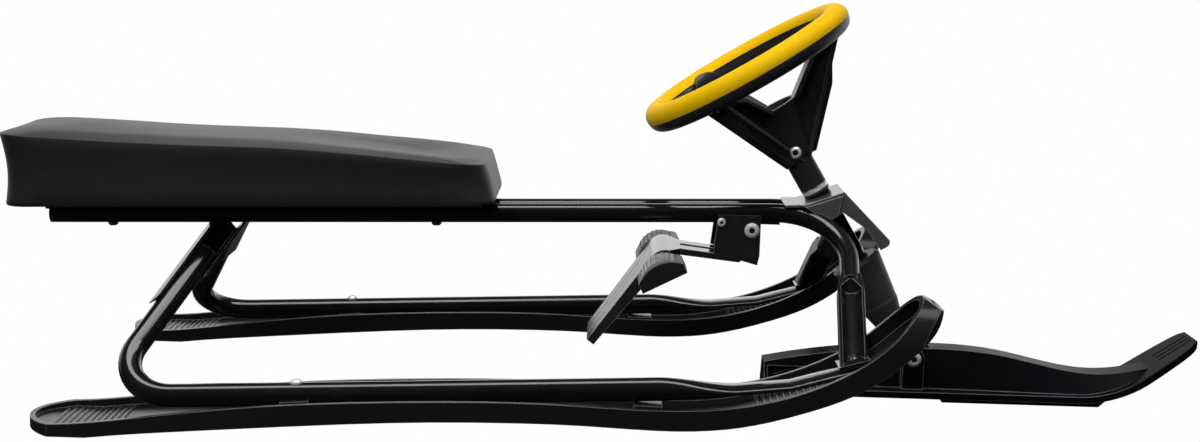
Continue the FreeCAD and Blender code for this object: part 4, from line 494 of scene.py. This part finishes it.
def puff(piece):
    cap, frames = foam["cap"], foam["frames"]
    start = [point.co.copy() for point in piece.data.vertices]
    cloth = piece.modifiers.new("puff", "CLOTH")
    for name, value in foam["cover"].items():
        setattr(cloth.settings, name, value)
    cloth.settings.effector_weights.gravity = 0
    cloth.collision_settings.use_collision = False
    cloth.point_cache.frame_start, cloth.point_cache.frame_end = 1, frames
    for tick in range(1, frames + 1):
        scene.frame_set(tick)
    shaped = piece.evaluated_get(bpy.context.evaluated_depsgraph_get()).data
    ends = [point.co.copy() for point in shaped.vertices]
    piece.modifiers.remove(cloth)
    scene.frame_set(1)
    most = 0
    for point, before, after in zip(piece.data.vertices, start, ends):
        move = after - before
        most = max(most, move.length)
        if move.length > cap:
            move = move.normalized() * cap
        point.co = before + move
    piece.data.update()
    print("cushion puffed, largest move", round(most * 1000, 2), "mm, kept to", cap * 1000)


def wrinkle(piece):  # folds, deepest at the two ends
    c = cushion
    size = c["foldSize"]
    for point in piece.data.vertices:
        end = min(abs(point.co.x - c["rearX"]), abs(point.co.x - c["frontX"]))
        pull = max(0.0, 1 - end / c["foldReach"])
        normal = point.normal.copy()
        fold = noise.noise(Vector((point.co.x * size, point.co.y * size * 0.5, point.co.z * size * 0.35)))
        point.co += normal * (c["foldDepth"] * fold * (0.35 + 0.65 * pull))
    piece.data.update()


padding = buildCushion()
puff(padding)
wrinkle(padding)
rounder = padding.modifiers.new("rounder", "SUBSURF")
rounder.levels = rounder.render_levels = 1
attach(padding, "frame")
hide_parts("seat_cushion")
print("bench cushion made")


# zigzag ribs moulded on the pedal treads
tread = {"pivot": (0.072, 0.141), "tilt": 27.5, "length": 0.048, "height": 0.022, "edge": 0.004,
         "inner": 0.04905, "width": 0.050, "rows": 8, "teeth": 9, "rib": 0.0010, "proud": 0.0008,
         "sunk": 0.0003, "foot": 1.3, "crest": 0.6, "margin": 0.001, "swing": 0.28}


def treadRibs(name, side):
    t = tread
    back, high, edge = -t["length"], t["height"], t["edge"]
    mid = back / 2
    reach = mid - (back + edge)
    drop = high / 2
    radius = (reach ** 2 + drop ** 2) / (2 * drop)
    centre = high - radius
    spread = math.asin(reach / radius)
    turn = math.radians(t["tilt"])
    nearY, farY = t["inner"] + t["edge"], t["inner"] + t["width"] - t["edge"]

    def onDome(angle, y, lift):
        x, z = mid + (radius + lift) * math.sin(angle), centre + (radius + lift) * math.cos(angle)
        return Vector((t["pivot"][0] + x * math.cos(turn) - z * math.sin(turn), side * y,
                       t["pivot"][1] + x * math.sin(turn) + z * math.cos(turn)))

    points, faces = [], []
    pitch = 2 * spread / (t["rows"] + 1)
    half = t["rib"] / radius
    foot, crest = half * t["foot"], half * t["crest"]
    section = ((-foot, -t["sunk"]), (-crest, t["proud"]), (crest, t["proud"]), (foot, -t["sunk"]))
    for row in range(t["rows"]):
        middle = -spread + pitch * (row + 1)
        first = len(points)
        count = 2 * t["teeth"] + 1
        for step in range(count):
            y = nearY + t["margin"] + (farY - nearY - 2 * t["margin"]) * step / (count - 1)
            swing = pitch * t["swing"] * (1 if step % 2 else -1)
            for offset, lift in section:
                points.append(onDome(middle + swing + offset, y, lift))
        for step in range(count - 1):
            for corner in range(4):
                a, b = first + 4 * step + corner, first + 4 * step + (corner + 1) % 4
                faces.append((a, b, b + 4, a + 4))
        faces.append(tuple(first + corner for corner in (3, 2, 1, 0)))
        last = first + 4 * (count - 1)
        faces.append(tuple(last + corner for corner in range(4)))
    if side > 0:
        faces = [tuple(reversed(face)) for face in faces]
    made = newPiece(name, points, faces, "rubber", False)
    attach(made, "brake")


treadRibs("right_tread_ribs", -1)
treadRibs("left_tread_ribs", 1)
print("tread ribs made")


# floor, sky and lamps: white to the camera, and a dark room with a pale backdrop to everything else
studio = {"room": 0.020, "ceiling": 0.06, "backdrop": 1.25, "floorFront": 0.020, "floorBack": 0.70,
          "floorRamp": (0.3, 1.4), "behind": (0.30, 0.90), "low": (0.30, 0.65), "high": (0.35, 0.80),
          "reach": 30.0, "lamps": {
              "shine": {"at": (0.0, -0.15, 2.4), "aim": (0.0, 0.0, 0.1), "size": (3.4, 0.9), "power": 46.0,
                        "diffuse": False, "glossy": True},
              "fill": {"at": (0.0, -0.35, 2.4), "aim": (0.0, 0.0, 0.1), "size": (3.2, 2.0), "power": 54.0,
                       "diffuse": True, "glossy": False},
              "front": {"at": (-1.2, -2.6, 1.5), "aim": (0.1, 0.0, 0.2), "size": (1.6, 1.2), "power": 38.0,
                        "diffuse": True, "glossy": False}}}


def makeFloor():
    reach = studio["reach"]
    corners = [(-reach, -reach, 0), (reach, -reach, 0), (reach, reach, 0), (-reach, reach, 0)]
    mesh = bpy.data.meshes.new("floor")
    mesh.from_pydata(corners, [], [(0, 1, 2, 3)])
    made = bpy.data.objects.new("floor", mesh)
    scene.collection.objects.link(made)
    finish, bench = newFinish("paleFloor")
    mesh.materials.append(finish)
    seen = bench.node("ShaderNodeLightPath", {}, {}, "Is Camera Ray")
    place = bench.node("ShaderNodeNewGeometry", {}, {}, "Position")
    depth = bench.node("ShaderNodeSeparateXYZ", {}, {0: place}, "Y")
    gain = studio["floorBack"] - studio["floorFront"]
    dim = studio["floorFront"] + depth.clip(*studio["floorRamp"]) * gain
    glow = bench.node("ShaderNodeEmission", {}, {"Color": (1, 1, 1, 1), "Strength": dim + seen * (1 - dim)})
    bench.node("ShaderNodeOutputMaterial", {}, {"Surface": glow})


def makeSky():
    sky = bpy.data.worlds.new("studio")
    sky.use_nodes = True
    scene.world = sky
    bench = Bench(sky.node_tree)
    seen = bench.node("ShaderNodeLightPath", {}, {}, "Is Camera Ray")
    aim = bench.node("ShaderNodeTexCoord", {}, {}, "Generated")
    height = bench.node("ShaderNodeSeparateXYZ", {}, {0: aim}, "Z")
    depth = bench.node("ShaderNodeSeparateXYZ", {}, {0: aim}, "Y")
    behind = depth.clip(*studio["behind"]) * (1 - height.clip(*studio["low"]))
    above = height.clip(*studio["high"])
    dim = studio["room"] + behind * studio["backdrop"] + above * studio["ceiling"]
    glow = bench.node("ShaderNodeBackground", {},
                      {"Color": (1, 1, 1, 1), "Strength": dim + seen * (1 - dim)})
    bench.node("ShaderNodeOutputWorld", {}, {"Surface": glow})


def makeLamps():
    for name, look in studio["lamps"].items():
        light = bpy.data.lights.new(name, "AREA")
        light.shape = "RECTANGLE"
        light.size, light.size_y = look["size"]
        light.energy = look["power"]
        made = bpy.data.objects.new(name, light)
        made.location = look["at"]
        made.rotation_euler = (Vector(look["aim"]) - Vector(look["at"])).to_track_quat("-Z", "Y").to_euler()
        made.visible_diffuse, made.visible_glossy = look["diffuse"], look["glossy"]
        scene.collection.objects.link(made)


makeFloor()
makeSky()
makeLamps()
print("studio made")


# camera, fitted to the photograph: place in metres, turn, drop and roll in degrees, and the focal length in
# pixels of a 1200 wide frame
shot = {"at": (-0.0205, -1.9689, 0.4736), "turn": -0.184, "drop": 8.648, "roll": 1.808, "focal": 1957.644,
        "wide": 1200.0, "sensor": 36.0}


def makeCamera():
    turn, drop, roll = (math.radians(shot[name]) for name in ("turn", "drop", "roll"))
    back = Vector((math.sin(turn) * math.cos(drop), -math.cos(turn) * math.cos(drop), math.sin(drop)))
    right = Vector((math.cos(turn), math.sin(turn), 0))
    up = back.cross(right)
    side = right * math.cos(roll) + up * math.sin(roll)
    top = up * math.cos(roll) - right * math.sin(roll)
    lens = bpy.data.cameras.new("shot")
    lens.sensor_fit = "HORIZONTAL"
    lens.sensor_width = shot["sensor"]
    lens.lens = shot["focal"] / shot["wide"] * shot["sensor"]
    made = bpy.data.objects.new("shot", lens)
    scene.collection.objects.link(made)
    turned = Matrix((side, top, back)).transposed().to_4x4()
    made.matrix_world = Matrix.Translation(shot["at"]) @ turned
    scene.camera = made


makeCamera()
